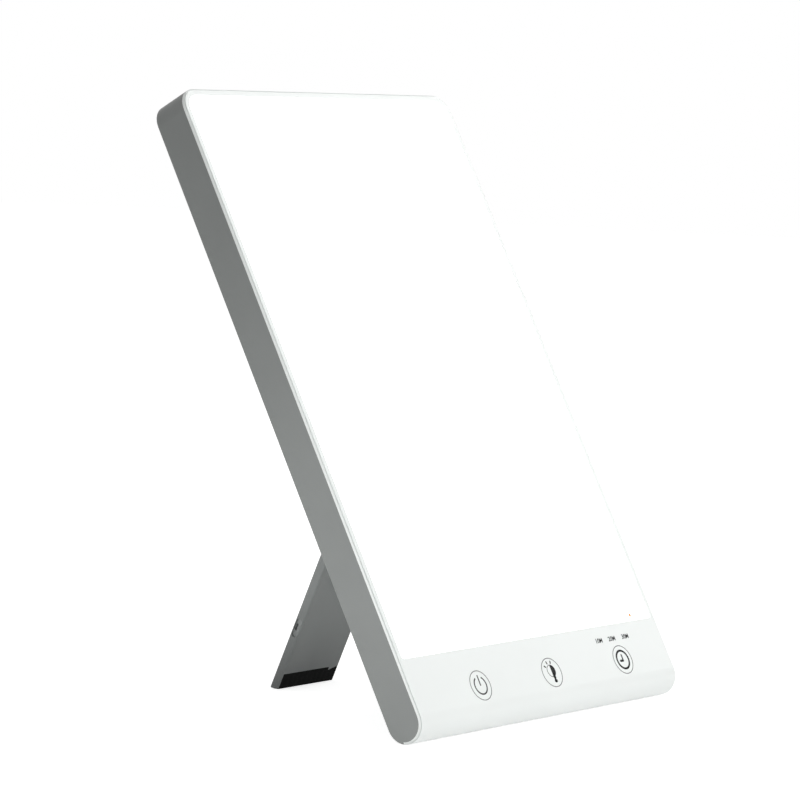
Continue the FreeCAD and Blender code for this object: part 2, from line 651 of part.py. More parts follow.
def touch_chip():
    """Touch sensing circuit on the back of the touch board."""
    width, depth, height = TOUCH_CHIP_SIZE
    y_span = (TOUCH_BOARD_BACK, TOUCH_BOARD_BACK + depth)
    return centred_box(TOUCH_CHIP_AT[0], TOUCH_CHIP_AT[1], y_span, width, height)


def driver_board():
    """Power and dimming board, seated on the housing's screw bosses."""
    board_span = (DRIVER_LEFT, DRIVER_RIGHT)
    board = box(board_span, (DRIVER_BOARD_FRONT, DRIVER_BOARD_BACK), DRIVER_BOARD_HEIGHTS)
    return board.cut(post_holes((0, PANEL_THICKNESS)))


def on_driver(place, size):
    """Block-shaped component that stands on the front of the driver board."""
    width, depth, height = size
    y_span = (DRIVER_BOARD_FRONT - depth, DRIVER_BOARD_FRONT)
    return centred_box(place[0], place[1], y_span, width, height)


def power_inductor():
    """Square coil with bevelled corners."""
    block = on_driver(INDUCTOR_AT, INDUCTOR_SIZE)
    corners = [edge for edge in block.Edges if edge.BoundBox.YLength > INDUCTOR_SIZE[1] / 2]
    return block.makeChamfer(INDUCTOR_BEVEL, corners)


def smoothing_capacitor():
    """Can capacitor that lies along the driver board."""
    x, z = CAPACITOR_AT
    span = (x - CAPACITOR_LENGTH / 2, x + CAPACITOR_LENGTH / 2)
    return cross_rod(CAPACITOR_RADIUS, span, DRIVER_BOARD_FRONT - CAPACITOR_RADIUS, z)


def board_link():
    """Plug-in connector between the touch board and the driver board."""
    width, height = LINK_CONNECTOR_SIZE
    y_span = (TOUCH_BOARD_BACK, DRIVER_BOARD_FRONT)
    return centred_box(LINK_CONNECTOR_AT[0], LINK_CONNECTOR_AT[1], y_span, width, height)


def lamp_wires():
    """Two wires from the driver board's connector to the end of the lamp bar."""
    start_x = LAMP_CONNECTOR_AT[0] - LAMP_CONNECTOR_SIZE[0] / 2
    y = BAR_FRONT + BAR_DEPTH / 2
    bend = LAMP_WIRE_BEND
    short = bend * (1 - math.sqrt(0.5))
    wires = []
    for from_end, z in zip(LAMP_WIRE_FROM_BAR_END, LAMP_WIRE_Z):
        rise_x = from_end - BAR_HALF
        before = Vector(rise_x + bend, y, z)
        after = Vector(rise_x, y, z + bend)
        corner = Part.Arc(before, Vector(rise_x + short, y, z + short), after).toShape()
        start = Vector(start_x, y, z)
        rise = Part.makeLine(after, Vector(rise_x, y, BAR_FOOT))
        path = Part.Wire([Part.makeLine(start, before), corner, rise])
        ring = Part.Wire(Part.makeCircle(WIRE_RADIUS, start, Vector(-1, 0, 0)))
        wires.append(path.makePipeShell([ring], True, False))
    return Part.makeCompound(wires)


def jack_body():
    """Barrel power socket, seated on the back wall with its nose through the side wall."""
    half_depth = JACK_DEPTH / 2
    y_span = (JACK_Y - half_depth, JACK_Y + half_depth)
    z_span = (JACK_Z - JACK_HEIGHT / 2, JACK_Z + JACK_HEIGHT / 2)
    body = box((JACK_INNER_X, JACK_WALL_X), y_span, z_span)
    nose = cross_rod(JACK_NOSE_RADIUS, (JACK_WALL_X - CUT, JACK_MOUTH_X), JACK_Y, JACK_Z)
    bore = cross_rod(JACK_BORE_RADIUS, (JACK_MOUTH_X - JACK_BORE_DEPTH, JACK_MOUTH_X + CUT), JACK_Y, JACK_Z)
    floor_x = JACK_MOUTH_X - JACK_BORE_DEPTH
    seat = cross_rod(JACK_PIN_RADIUS + JACK_PIN_FIT, (floor_x - JACK_PIN_ROOT, floor_x + CUT), JACK_Y, JACK_Z)
    return body.fuse(nose).cut([bore, seat])


def jack_pin():
    """Centre contact of the power socket, with a rounded tip."""
    root_x = JACK_MOUTH_X - JACK_BORE_DEPTH - JACK_PIN_ROOT
    tip_x = JACK_MOUTH_X - JACK_PIN_SINK
    shaft = cross_rod(JACK_PIN_RADIUS, (root_x, tip_x - JACK_PIN_RADIUS), JACK_Y, JACK_Z)
    tip = Part.makeSphere(JACK_PIN_RADIUS, Vector(tip_x - JACK_PIN_RADIUS, JACK_Y, JACK_Z))
    return shaft.fuse(tip).removeSplitter()


def jack_wires():
    """Two wires from the socket's tags to the driver board."""
    span = (DRIVER_RIGHT - JACK_WIRE_OVER_BOARD, JACK_INNER_X)
    y = DRIVER_BOARD_FRONT - WIRE_RADIUS
    return Part.makeCompound([cross_rod(WIRE_RADIUS, span, y, z) for z in JACK_WIRE_Z])


def cross_slot(x, z, y_span, head_radius):
    """The two crossed bars that are cut from a screw head."""
    length = 2 * head_radius * SCREW_SLOT_SHARE
    across = centred_box(x, z, y_span, length, SCREW_SLOT_WIDTH)
    upright = centred_box(x, z, y_span, SCREW_SLOT_WIDTH, length)
    return [across, upright]


def housing_screws():
    """Screws from the back through the housing into the cover's posts."""
    head_front = PANEL_THICKNESS - SCREW_HEAD_SINK
    head_back = head_front + SCREW_HEAD_HEIGHT
    screws = []
    for x, z in POST_PLACES:
        shaft = depth_rod(SCREW_RADIUS, x, z, (SCREW_TIP, head_front + SCREW_SLOT_DEPTH))
        head = depth_rod(SCREW_HEAD_RADIUS, x, z, (head_front, head_back))
        slot_span = (head_back - SCREW_SLOT_DEPTH, head_back + CUT)
        screws.append(shaft.fuse(head).cut(cross_slot(x, z, slot_span, SCREW_HEAD_RADIUS)).Solids[0])
    return Part.makeCompound(screws)


def indicator_lens():
    """Amber light pin, flush with the diffuser at its lower edge."""
    return depth_rod(INDICATOR_RADIUS, INDICATOR_X, INDICATOR_Z, (DIFFUSER_SINK, DIFFUSER_BACK))


def hinge_bracket():
    """Folded steel bracket: a base in the recess floor and two ears that hold the pin."""
    low, high = bracket_span()
    base = box((-EAR_OUTER, EAR_OUTER), (BRACKET_SEAT, RECESS_FLOOR), (low, high))
    added = []
    for side in (-1, 1):
        x_span = sorted((side * EAR_INNER, side * EAR_OUTER))
        z_span = (HINGE_HEIGHT - EAR_HALF_WIDTH, HINGE_HEIGHT + EAR_HALF_WIDTH)
        added.append(box(x_span, (BRACKET_SEAT, PIN_Y - EAR_ROOT_BELOW_PIN), z_span))
        added.append(cross_rod(LEG_THICKNESS / 2, x_span, PIN_Y, HINGE_HEIGHT))
    bracket = base.fuse(added)
    hole = cross_rod(PIN_RADIUS + PIN_PRESS_GAP, (-EAR_OUTER - CUT, EAR_OUTER + CUT), PIN_Y, HINGE_HEIGHT)
    screw_holes = bracket_screw_solids(SCREW_FIT, BRACKET_HEAD_SINK + CUT)
    return bracket.cut([hole] + screw_holes)


def bracket_screw_solids(gap, above):
    """Countersunk screw shapes, grown by a gap and carried above the head when they are cut away."""
    z = HINGE_HEIGHT - BRACKET_SCREW_DROP
    top = RECESS_FLOOR - BRACKET_HEAD_SINK
    tip = BRACKET_SEAT - BRACKET_SCREW_LENGTH
    cone_height = BRACKET_HEAD_RADIUS - BRACKET_SCREW_RADIUS
    solids = []
    for x in (-BRACKET_SCREW_X, BRACKET_SCREW_X):
        shaft = depth_rod(BRACKET_SCREW_RADIUS + gap, x, z, (tip, top))
        cone = Part.makeCone(BRACKET_SCREW_RADIUS + gap, BRACKET_HEAD_RADIUS + gap, cone_height,
                             Vector(x, top - cone_height, z), Vector(0, 1, 0))
        pieces = [cone]
        if above > 0:
            pieces.append(depth_rod(BRACKET_HEAD_RADIUS + gap, x, z, (top, top + above)))
        solids.append(shaft.fuse(pieces))
    return solids


def bracket_screws():
    """Two countersunk screws with cross slots that hold the bracket in the housing."""
    z = HINGE_HEIGHT - BRACKET_SCREW_DROP
    top = RECESS_FLOOR - BRACKET_HEAD_SINK
    slot_span = (top - SCREW_SLOT_DEPTH, top + CUT)
    screws = []
    for x, solid in zip((-BRACKET_SCREW_X, BRACKET_SCREW_X), bracket_screw_solids(0, 0)):
        screws.append(solid.cut(cross_slot(x, z, slot_span, BRACKET_HEAD_RADIUS)).Solids[0])
    return Part.makeCompound(screws)


def hinge_pin():
    """Steel pin with a head on the left and a plain end on the right."""
    head_x = -EAR_OUTER
    end_x = EAR_OUTER + PIN_END_REACH
    shaft = cross_rod(PIN_RADIUS, (head_x - PIN_HEAD_LENGTH, end_x), PIN_Y, HINGE_HEIGHT)
    head = cross_rod(PIN_HEAD_RADIUS, (head_x - PIN_HEAD_LENGTH, head_x), PIN_Y, HINGE_HEIGHT)
    return shaft.fuse(head)


def pin_clip():
    """Open spring clip on the plain end of the pin."""
    span = (EAR_OUTER, EAR_OUTER + CLIP_THICKNESS)
    disc = cross_rod(CLIP_RADIUS, span, PIN_Y, HINGE_HEIGHT)
    bore = cross_rod(PIN_RADIUS + PIN_PRESS_GAP, (span[0] - CUT, span[1] + CUT), PIN_Y, HINGE_HEIGHT)
    half_mouth = CLIP_MOUTH / 2
    mouth = box((span[0] - CUT, span[1] + CUT), (PIN_Y, PIN_Y + CLIP_RADIUS + CUT),
                (HINGE_HEIGHT - half_mouth, HINGE_HEIGHT + half_mouth))
    return disc.cut([bore, mouth])


def friction_washers():
    """Two thin washers that brake the leg between its barrel and the bracket's ears."""
    inner = BARREL_WIDTH / 2 + EAR_PLAY
    washers = []
    for side in (-1, 1):
        span = sorted((side * inner, side * (inner + WASHER_THICKNESS)))
        ring = cross_rod(WASHER_RADIUS, span, PIN_Y, HINGE_HEIGHT)
        bore = cross_rod(PIN_RADIUS + PIN_PRESS_GAP, (span[0] - CUT, span[1] + CUT), PIN_Y, HINGE_HEIGHT)
        washers.append(ring.cut(bore))
    return Part.makeCompound(washers)


def heel_top_y():
    """Depth at which the heel's flat stop face meets its top, in stand coordinates."""
    stop = PIN_Y - RECESS_FLOOR - STOP_GAP
    return -(stop - HEEL_LENGTH * math.sin(OPEN)) / math.cos(OPEN)


def heel_inner_z():
    """Height at which the heel's flat stop face meets the leg's inner face."""
    stop = PIN_Y - RECESS_FLOOR - STOP_GAP
    return (stop - LEG_THICKNESS / 2 * math.cos(OPEN)) / math.sin(OPEN)


def leg_plate():
    """Side view of the leg, swept to its width: heel, flat plate and level-cut foot."""
    half = LEG_THICKNESS / 2
    outline = [
        Vector(-LEG_WIDTH / 2, -half, heel_inner_z()),
        Vector(-LEG_WIDTH / 2, heel_top_y(), HEEL_LENGTH),
        Vector(-LEG_WIDTH / 2, half, HEEL_LENGTH),
        Vector(-LEG_WIDTH / 2, half, floor_drop(half, PAD_BELOW_LEG)),
        Vector(-LEG_WIDTH / 2, -half, floor_drop(-half, PAD_BELOW_LEG)),
    ]
    plate = prism(outline, Vector(LEG_WIDTH, 0, 0))
    foot_z = floor_drop(half, PAD_BELOW_LEG)
    rounded = []
    for edge in plate.Edges:
        bounds = edge.BoundBox
        along = bounds.ZLength > HINGE_HEIGHT / 2 and bounds.YLength < half
        at_foot = bounds.XLength > LEG_WIDTH / 2 and abs(bounds.ZMax - foot_z) < NEAR
        if along or at_foot:
            rounded.append(edge)
    return plate.makeFillet(LEG_EDGE_ROUND, rounded)


def pad_space(top_side, fit):
    """Space of the foot pad: a bar with a nick in its top edge near the right end."""
    inner = -LEG_THICKNESS / 2
    half = LEG_WIDTH / 2 - PAD_SIDE_WALL - fit
    top = floor_drop(inner) + PAD_HEIGHT - fit
    back = inner + PAD_DEPTH - fit
    front = inner - top_side
    nick = half - PAD_NICK_FROM_END
    low = floor_drop(back) - CUT
    outline = [
        Vector(-half, front, low),
        Vector(-half, front, top),
        Vector(nick, front, top),
        Vector(nick, front, top - PAD_NICK_DROP),
        Vector(half, front, top),
        Vector(half, front, low),
    ]
    return prism(outline, Vector(0, back - front, 0))


def below(lift):
    """Half space under a level plane, in stand coordinates."""
    reach = 2 * LEG_WIDTH
    outline = [
        Vector(-reach, -reach, floor_drop(-reach, lift)),
        Vector(-reach, reach, floor_drop(reach, lift)),
        Vector(-reach, reach, floor_drop(reach, lift) - 2 * reach),
        Vector(-reach, -reach, floor_drop(reach, lift) - 2 * reach),
    ]
    return prism(outline, Vector(2 * reach, 0, 0))


def edge_obround(y, length, width, depth):
    """Round-ended slot in the left edge of the leg, along the leg and centred at depth y."""
    middle = -leg_reach() + SLOT_FROM_FOOT
    reach = (length - width) / 2
    half = width / 2
    x_span = (-LEG_WIDTH / 2 - CUT, -LEG_WIDTH / 2 + depth)
    bar = box(x_span, (y - half, y + half), (middle - reach, middle + reach))
    ends = [cross_rod(half, x_span, y, middle + shift * reach) for shift in (-1, 1)]
    return bar.fuse(ends)


def edge_slot():
    """Fingernail slot in the left edge of the leg, with a small pocket along its back."""
    slot = edge_obround(-SLOT_FORWARD, SLOT_LENGTH, SLOT_WIDTH, SLOT_DEPTH)
    pocket_y = SLOT_WIDTH / 2 - SLOT_FORWARD - POCKET_FROM_SLOT_BACK - POCKET_WIDTH / 2
    return slot.fuse(edge_obround(pocket_y, POCKET_LENGTH, POCKET_WIDTH, POCKET_DEPTH))


def stand_leg():
    """Leg with its hinge barrel, heel stop, edge slot and the seat of the foot pad."""
    half_barrel = BARREL_WIDTH / 2
    removed = [pad_space(CUT, 0), edge_slot()]
    for side in (-1, 1):
        x_span = sorted((side * half_barrel, side * (LEG_WIDTH / 2 + CUT)))
        removed.append(box(x_span, (-LEG_THICKNESS, LEG_THICKNESS), (-SHOULDER_DROP, HEEL_LENGTH + CUT)))
    removed.append(cross_rod(PIN_RADIUS + PIN_FIT, (-LEG_WIDTH, LEG_WIDTH), 0, 0))
    return leg_plate().cut(removed)


def foot_pad():
    """Rubber pad that the leg stands on, cut level at the table."""
    return pad_space(0, PAD_FIT).cut(below(0))


def place(shape, placement):
    """Copy of a shape moved to its place in the finished lamp."""
    return shape.transformed(placement.toMatrix(), True)


def panel_pieces():
    """Every piece that belongs to the panel, in panel coordinates."""
    block = panel_block()
    return {
        "rear_housing": rear_housing(block),
        "front_cover": front_cover(block),
        "diffuser_panel": diffuser_panel(),
        "diffuser_film": stack_sheet(DIFFUSER_BACK, FILM_THICKNESS),
        "light_guide_plate": stack_sheet(GUIDE_FRONT, GUIDE_THICKNESS),
        "reflector_sheet": stack_sheet(GUIDE_BACK, REFLECTOR_THICKNESS),
        "heat_spreader": heat_spreader(),
        "lamp_bar": lamp_bar(),
        "lamp_chips": lamp_chips(),
        "touch_pads": touch_pads(),
        "touch_board": touch_board(),
        "touch_chip": touch_chip(),
        "timer_leds": timer_leds(),
        "indicator_lens": indicator_lens(),
        "driver_board": driver_board(),
        "controller_chip": on_driver(CONTROLLER_AT, CONTROLLER_SIZE),
        "power_transistors": Part.makeCompound([on_driver(at, TRANSISTOR_SIZE) for at in TRANSISTOR_AT]),
        "power_inductor": power_inductor(),
        "smoothing_capacitor": smoothing_capacitor(),
        "board_link": board_link(),
        "lamp_connector": on_driver(LAMP_CONNECTOR_AT, LAMP_CONNECTOR_SIZE),
        "lamp_wires": lamp_wires(),
        "jack_body": jack_body(),
        "jack_pin": jack_pin(),
        "jack_wires": jack_wires(),
        "housing_screws": housing_screws(),
        "hinge_bracket": hinge_bracket(),
        "bracket_screws": bracket_screws(),
        "hinge_pin": hinge_pin(),
        "pin_clip": pin_clip(),
        "friction_washers": friction_washers(),
    }


def stand_pieces():
    """Every piece that swings with the stand, in stand coordinates."""
    return {
        "stand_leg": stand_leg(),
        "foot_pad": foot_pad(),
    }


def export(name, shape):
    """Write one piece to its own file, after a check of its solids."""
    solids = shape.Solids
    for solid in solids:
        if not solid.isValid() or solid.Volume <= 0:
            print("NOT VALID", name)
    result = solids[0] if len(solids) == 1 else Part.makeCompound(solids)
    result.exportStep("parts/" + name + ".step")
    print(name, len(solids), "solids", round(result.Volume, 1), "mm3")


def main():
    """Build every piece, place it and write it out."""
    os.makedirs("parts", exist_ok=True)
    for name, shape in panel_pieces().items():
        export(name, place(shape, PANEL_PLACE))
    for name, shape in stand_pieces().items():
        export(name, place(shape, STAND_PLACE))
    print("pin", round(PIN_WORLD_Y - MIDDLE_Y, 4), round(PIN_WORLD_Z, 4), "leg reach", round(leg_reach(), 3))


main()
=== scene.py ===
"""Looks of the light therapy lamp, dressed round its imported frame.

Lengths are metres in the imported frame: +X to the viewer's right, +Y to the back and +Z up,
with the origin on the table under the middle of the lamp. Flat prints are drawn first in
face coordinates, which are millimetres: x from the panel's middle, y up the face from the
panel's lower end and z outwards, and then laid on the leaning face.
"""

import json
import logging
import math
from collections.abc import Callable, Sequence
from dataclasses import dataclass, field
from enum import Enum
from typing import Protocol

import bpy
from mathutils import Euler, Matrix, Vector


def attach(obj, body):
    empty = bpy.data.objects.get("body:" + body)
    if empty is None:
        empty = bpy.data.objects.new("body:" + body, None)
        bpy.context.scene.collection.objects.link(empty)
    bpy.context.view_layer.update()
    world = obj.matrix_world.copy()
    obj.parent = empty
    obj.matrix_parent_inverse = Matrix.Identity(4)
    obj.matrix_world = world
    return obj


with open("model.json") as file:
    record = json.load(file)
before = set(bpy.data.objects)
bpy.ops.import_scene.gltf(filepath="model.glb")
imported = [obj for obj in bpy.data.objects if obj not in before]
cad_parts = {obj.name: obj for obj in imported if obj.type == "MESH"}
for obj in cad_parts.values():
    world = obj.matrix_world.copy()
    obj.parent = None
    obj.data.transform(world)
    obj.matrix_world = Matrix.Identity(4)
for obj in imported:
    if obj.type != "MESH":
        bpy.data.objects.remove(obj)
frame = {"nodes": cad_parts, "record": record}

LOG = logging.getLogger("lamp")
Colour = tuple[float, float, float]
Point = tuple[float, float, float]
Flat = tuple[float, float]
Span = tuple[float, float]

MM = 0.001
LEAN = math.radians(28.4)
PANEL_LENGTH = 240.0
PANEL_THICKNESS = 14.7
END_RADIUS = PANEL_THICKNESS / 2
EDGE_ROUND = 0.8

# Patterns run from about 0 to 1, and most of their area lies between these values.
BLEND_START, BLEND_END = 0.35, 0.65
SPREAD_START, SPREAD_END = 0.3, 0.7
# Width of the ramp of painted shade on a piece's flanks.
FLANK_SHADE_RAMP = 0.5 * MM
DETAIL_SOFT = 3
DETAIL_FINE = 4
DETAIL_BRUSHED = 5
RELIEF_SOFT = 0.4
RELIEF_MIDDLE = 0.5
RELIEF_STRONG = 0.6
PLASTIC_IOR = 1.5
ACRYLIC_IOR = 1.49
WAVE_TURN = 6.28
RING_SIDES = 96
FILL_SIDES = 48
BAR_END_SHARE = 0.46
BAR_END_STEPS = 5
LETTER_CAP_SHARE = 0.72
LETTER_STEPS = 3
WELD = 1e-7


class Body(Enum):
    """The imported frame's bodies that new pieces ride on."""

    PANEL = "lamp_panel"


class Slot(Enum):
    """The record's material slots of new pieces."""

    INK = "component_black"


def face_matrix() -> Matrix:
    """Matrix that lays face coordinates, in millimetres, on the leaning front face.

    Returns:
        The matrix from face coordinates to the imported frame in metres.
    """
    round_y = (PANEL_LENGTH - END_RADIUS - EDGE_ROUND) * math.sin(LEAN)
    round_y += (END_RADIUS - EDGE_ROUND) * math.cos(LEAN)
    middle_y = (round_y + EDGE_ROUND - END_RADIUS) / 2
    start_y = -END_RADIUS * math.cos(LEAN) - END_RADIUS * math.sin(LEAN) - middle_y
    start_z = END_RADIUS - END_RADIUS * math.cos(LEAN) + END_RADIUS * math.sin(LEAN)
    turn = Matrix.Rotation(math.radians(90) - LEAN, 4, "X")
    return Matrix.Translation(Vector((0, start_y, start_z)) * MM) @ turn @ Matrix.Scale(MM, 4)


def worked(
    tree: bpy.types.NodeTree, operation: str, *values: bpy.types.NodeSocket
) -> bpy.types.NodeSocket:
    """Result of one sum on the values of other sockets.

    Args:
        tree: The node tree.
        operation: Blender's name of the sum.
        values: The sockets that feed it.

    Returns:
        The result's socket.
    """
    node = tree.nodes.new("ShaderNodeMath")
    node.operation = operation
    for value, socket in zip(values, node.inputs):
        tree.links.new(value, socket)
    return node.outputs["Value"]


class Graph:
    """A material's node tree with one surface shader, and short ways to add nodes to it."""

    def __init__(self, name: str) -> None:
        """Start a material.

        Args:
            name: Name of the new material.
        """
        self.material = bpy.data.materials.new(name)
        self.material.use_nodes = True
        self.tree = self.material.node_tree
        self.tree.nodes.clear()
        self.shader = self.tree.nodes.new("ShaderNodeBsdfPrincipled")
        output = self.tree.nodes.new("ShaderNodeOutputMaterial")
        self.tree.links.new(self.shader.outputs["BSDF"], output.inputs["Surface"])
        self.places = self.tree.nodes.new("ShaderNodeTexCoord").outputs["Object"]

    def put(self, **values: float | Colour | bpy.types.NodeSocket) -> None:
        """Set or link sockets of the surface shader.

        Args:
            values: Socket names with spaces written as underscores, and their values.
        """
        for name, value in values.items():
            title = name.replace("_", " ").title().replace("Ior", "IOR")
            socket = self.shader.inputs[title]
            if isinstance(value, bpy.types.NodeSocket):
                self.tree.links.new(value, socket)
            elif isinstance(value, tuple):
                socket.default_value = (*value, 1.0)
            else:
                socket.default_value = value

    def stretched(self, scale: Point, turn: Point = (0, 0, 0)) -> bpy.types.NodeSocket:
        """Object coordinates, turned and scaled.

        Args:
            scale: Scale along each axis.
            turn: Turn about each axis in degrees.

        Returns:
            The socket of the mapped coordinates.
        """
        node = self.tree.nodes.new("ShaderNodeMapping")
        node.inputs["Scale"].default_value = scale
        node.inputs["Rotation"].default_value = [math.radians(angle) for angle in turn]
        self.tree.links.new(self.places, node.inputs["Vector"])
        return node.outputs["Vector"]

    def noise(
        self, size: float, detail: float = 2.0, places: bpy.types.NodeSocket | None = None
    ) -> bpy.types.NodeSocket:
        """Cloudy pattern.

        Args:
            size: Size of one cloud in metres.
            detail: Number of finer layers.
            places: Coordinates to use in place of the object's own.

        Returns:
            The pattern's value socket.
        """
        node = self.tree.nodes.new("ShaderNodeTexNoise")
        node.inputs["Scale"].default_value = 1 / size
        node.inputs["Detail"].default_value = detail
        self.tree.links.new(places or self.places, node.inputs["Vector"])
        return node.outputs["Fac"]

    def cells(self, size: float, places: bpy.types.NodeSocket | None = None) -> bpy.types.NodeSocket:
        """Distance to the nearest of many scattered points.

        Args:
            size: Mean distance between the points in metres.
            places: Coordinates to use in place of the object's own.

        Returns:
            The distance socket.
        """
        node = self.tree.nodes.new("ShaderNodeTexVoronoi")
        node.inputs["Scale"].default_value = 1 / size
        self.tree.links.new(places or self.places, node.inputs["Vector"])
        return node.outputs["Distance"]

    def blend(self, factor: bpy.types.NodeSocket, low: Colour, high: Colour) -> bpy.types.NodeSocket:
        """Colour that runs from low to high over the middle of a pattern.

        Args:
            factor: The pattern.
            low: Colour where the pattern is dark.
            high: Colour where the pattern is light.

        Returns:
            The colour socket.
        """
        node = self.tree.nodes.new("ShaderNodeValToRGB")
        first, last = node.color_ramp.elements
        first.position, last.position = BLEND_START, BLEND_END
        first.color, last.color = (*low, 1), (*high, 1)
        self.tree.links.new(factor, node.inputs["Fac"])
        return node.outputs["Color"]

    def ranged(
        self, value: bpy.types.NodeSocket, start: float, end: float, low: float, high: float
    ) -> bpy.types.NodeSocket:
        """Number that runs evenly from low to high and stays at its ends beyond them.

        Args:
            value: The value that drives it.
            start: The value at which it is low.
            end: The value at which it is high.
            low: The number at the start.
            high: The number at the end.

        Returns:
            The number's socket.
        """
        node = self.tree.nodes.new("ShaderNodeMapRange")
        for name, level in (("From Min", start), ("From Max", end), ("To Min", low), ("To Max", high)):
            node.inputs[name].default_value = level
        self.tree.links.new(value, node.inputs["Value"])
        return node.outputs["Result"]

    def spread(self, factor: bpy.types.NodeSocket, low: float, high: float) -> bpy.types.NodeSocket:
        """Number that runs from low to high over the middle of a pattern.

        Args:
            factor: The pattern.
            low: Value where the pattern is dark.
            high: Value where the pattern is light.

        Returns:
            The value socket.
        """
        return self.ranged(factor, SPREAD_START, SPREAD_END, low, high)

    def along(self, axis: str) -> bpy.types.NodeSocket:
        """Object coordinate along one axis.

        Args:
            axis: X, Y or Z.

        Returns:
            The coordinate's socket.
        """
        node = self.tree.nodes.new("ShaderNodeSeparateXYZ")
        self.tree.links.new(self.places, node.inputs["Vector"])
        return node.outputs[axis]

    def scaled(self, colour: bpy.types.NodeSocket, factor: bpy.types.NodeSocket) -> bpy.types.NodeSocket:
        """Colour times a factor.

        Args:
            colour: The colour.
            factor: The factor on each channel.

        Returns:
            The colour socket.
        """
        node = self.tree.nodes.new("ShaderNodeVectorMath")
        node.operation = "SCALE"
        self.tree.links.new(colour, node.inputs[0])
        self.tree.links.new(factor, node.inputs["Scale"])
        return node.outputs["Vector"]

    def fade(
        self, colour: bpy.types.NodeSocket, foot: float, head: float, height: float
    ) -> bpy.types.NodeSocket:
        """Colour with painted light and shade whose factor changes evenly from the table up to a height.

        Args:
            colour: The colour.
            foot: Factor on it at the table.
            head: Factor on it at the height and above.
            height: The height in metres.

        Returns:
            The colour socket.
        """
        return self.scaled(colour, self.ranged(self.along("Z"), 0, height, foot, head))

    def painted_flank_shade(self, colour: bpy.types.NodeSocket, half: float, share: float) -> bpy.types.NodeSocket:
        """Colour with painted shade on a piece's two flanks.

        Args:
            colour: The colour.
            half: Half of the piece's width along x in metres, where the flanks are.
            share: Factor of the painted shade on the colour at the flanks.

        Returns:
            The colour socket.
        """
        out = worked(self.tree, "ABSOLUTE", self.along("X"))
        return self.scaled(colour, self.ranged(out, half - FLANK_SHADE_RAMP, half, 1, share))

    def sum(self, first: bpy.types.NodeSocket, second: bpy.types.NodeSocket) -> bpy.types.NodeSocket:
        """Two values added.

        Args:
            first: First value.
            second: Second value.

        Returns:
            The sum socket.
        """
        return worked(self.tree, "ADD", first, second)

    def relief(self, height: bpy.types.NodeSocket, depth: float, strength: float = 1.0) -> None:
        """Raise and sink the surface's shading by a pattern.

        Args:
            height: The pattern.
            depth: Height of the relief in metres.
            strength: Share of the relief that shows.
        """
        node = self.tree.nodes.new("ShaderNodeBump")
        node.inputs["Distance"].default_value = depth
        node.inputs["Strength"].default_value = strength
        self.tree.links.new(height, node.inputs["Height"])
        self.tree.links.new(node.outputs["Normal"], self.shader.inputs["Normal"])


def shade(colour: Colour, share: float) -> Colour:
    """A colour made lighter or darker.

    Args:
        colour: The colour.
        share: Factor on each channel.

    Returns:
        The new colour, no lighter than white.
    """
    return tuple(min(1.0, channel * share) for channel in colour)


class Finish(Protocol):
    """Anything that can make a material."""

    def material(self) -> bpy.types.Material:
        """The finish's material."""


@dataclass(frozen=True)
class Moulded:
    """Moulded plastic with a fine spark grain, soft tone changes, painted light and shade by height and on
    the flanks, and uneven gloss.
    """

    name: str
    colour: Colour
    roughness: float = 0.45
    grain: float = 0.35 * MM
    grain_depth: float = 0.02 * MM
    tone: float = 0.03
    coat: float = 0.0
    # Painted light and shade: factors at the table and at the head of a height ramp, then a factor on the
    # flanks.
    foot_painted_light: float = 1.0
    head_painted_light: float = 1.0
    painted_light_height: float = 0.2
    flank_half: float = 1.0
    flank_painted_shade: float = 1.0
    cloud: float = 38 * MM
    flow: float = 9 * MM
    flow_stretch: Point = (1, 1, 0.35)
    coat_roughness: float = 0.22
    pit_share: float = 1.7
    smoother: float = 0.04
    rougher: float = 0.05

    def material(self) -> bpy.types.Material:
        """Material of the moulded plastic."""
        graph = Graph(self.name)
        clouds = graph.noise(self.cloud, DETAIL_FINE)
        flow = graph.noise(self.flow, DETAIL_SOFT, graph.stretched(self.flow_stretch))
        tone = graph.blend(clouds, shade(self.colour, 1 - self.tone), shade(self.colour, 1 + self.tone))
        # Painted light and shade that change with height.
        tone = graph.fade(tone, self.foot_painted_light, self.head_painted_light, self.painted_light_height)
        # Painted shade on the two flanks.
        tone = graph.painted_flank_shade(tone, self.flank_half, self.flank_painted_shade)
        gloss = graph.spread(flow, self.roughness - self.smoother, self.roughness + self.rougher)
        graph.put(
            base_color=tone,
            roughness=gloss,
            coat_weight=self.coat,
            coat_roughness=self.coat_roughness,
            ior=PLASTIC_IOR,
        )
        grain = graph.sum(graph.noise(self.grain), graph.cells(self.grain * self.pit_share))
        graph.relief(grain, self.grain_depth, RELIEF_STRONG)
        return graph.material


@dataclass(frozen=True)
class Glow:
    """Opal acrylic lit from behind, with a fine bead pattern and a faint change of tone."""

    name: str
    colour: Colour = (0.93, 0.95, 0.96)
    light: Colour = (1.0, 1.0, 1.0)
    light_low: Colour = (0.985, 0.99, 1.0)
    strength: float = 1.1
    cloud: float = 70 * MM
    haze: float = 6 * MM
    bead: float = 0.9 * MM
    bead_depth: float = 0.015 * MM
    deep_share: float = 0.98
    gloss: Span = (0.3, 0.38)

    def material(self) -> bpy.types.Material:
        """Material of the lit opal plate."""
        graph = Graph(self.name)
        clouds = graph.noise(self.cloud, DETAIL_SOFT)
        graph.put(
            base_color=graph.blend(clouds, shade(self.colour, self.deep_share), self.colour),
            roughness=graph.spread(graph.noise(self.haze), *self.gloss),
            emission_color=graph.blend(clouds, self.light_low, self.light),
            emission_strength=self.strength,
        )
        graph.relief(graph.cells(self.bead), self.bead_depth, RELIEF_MIDDLE)
        return graph.material


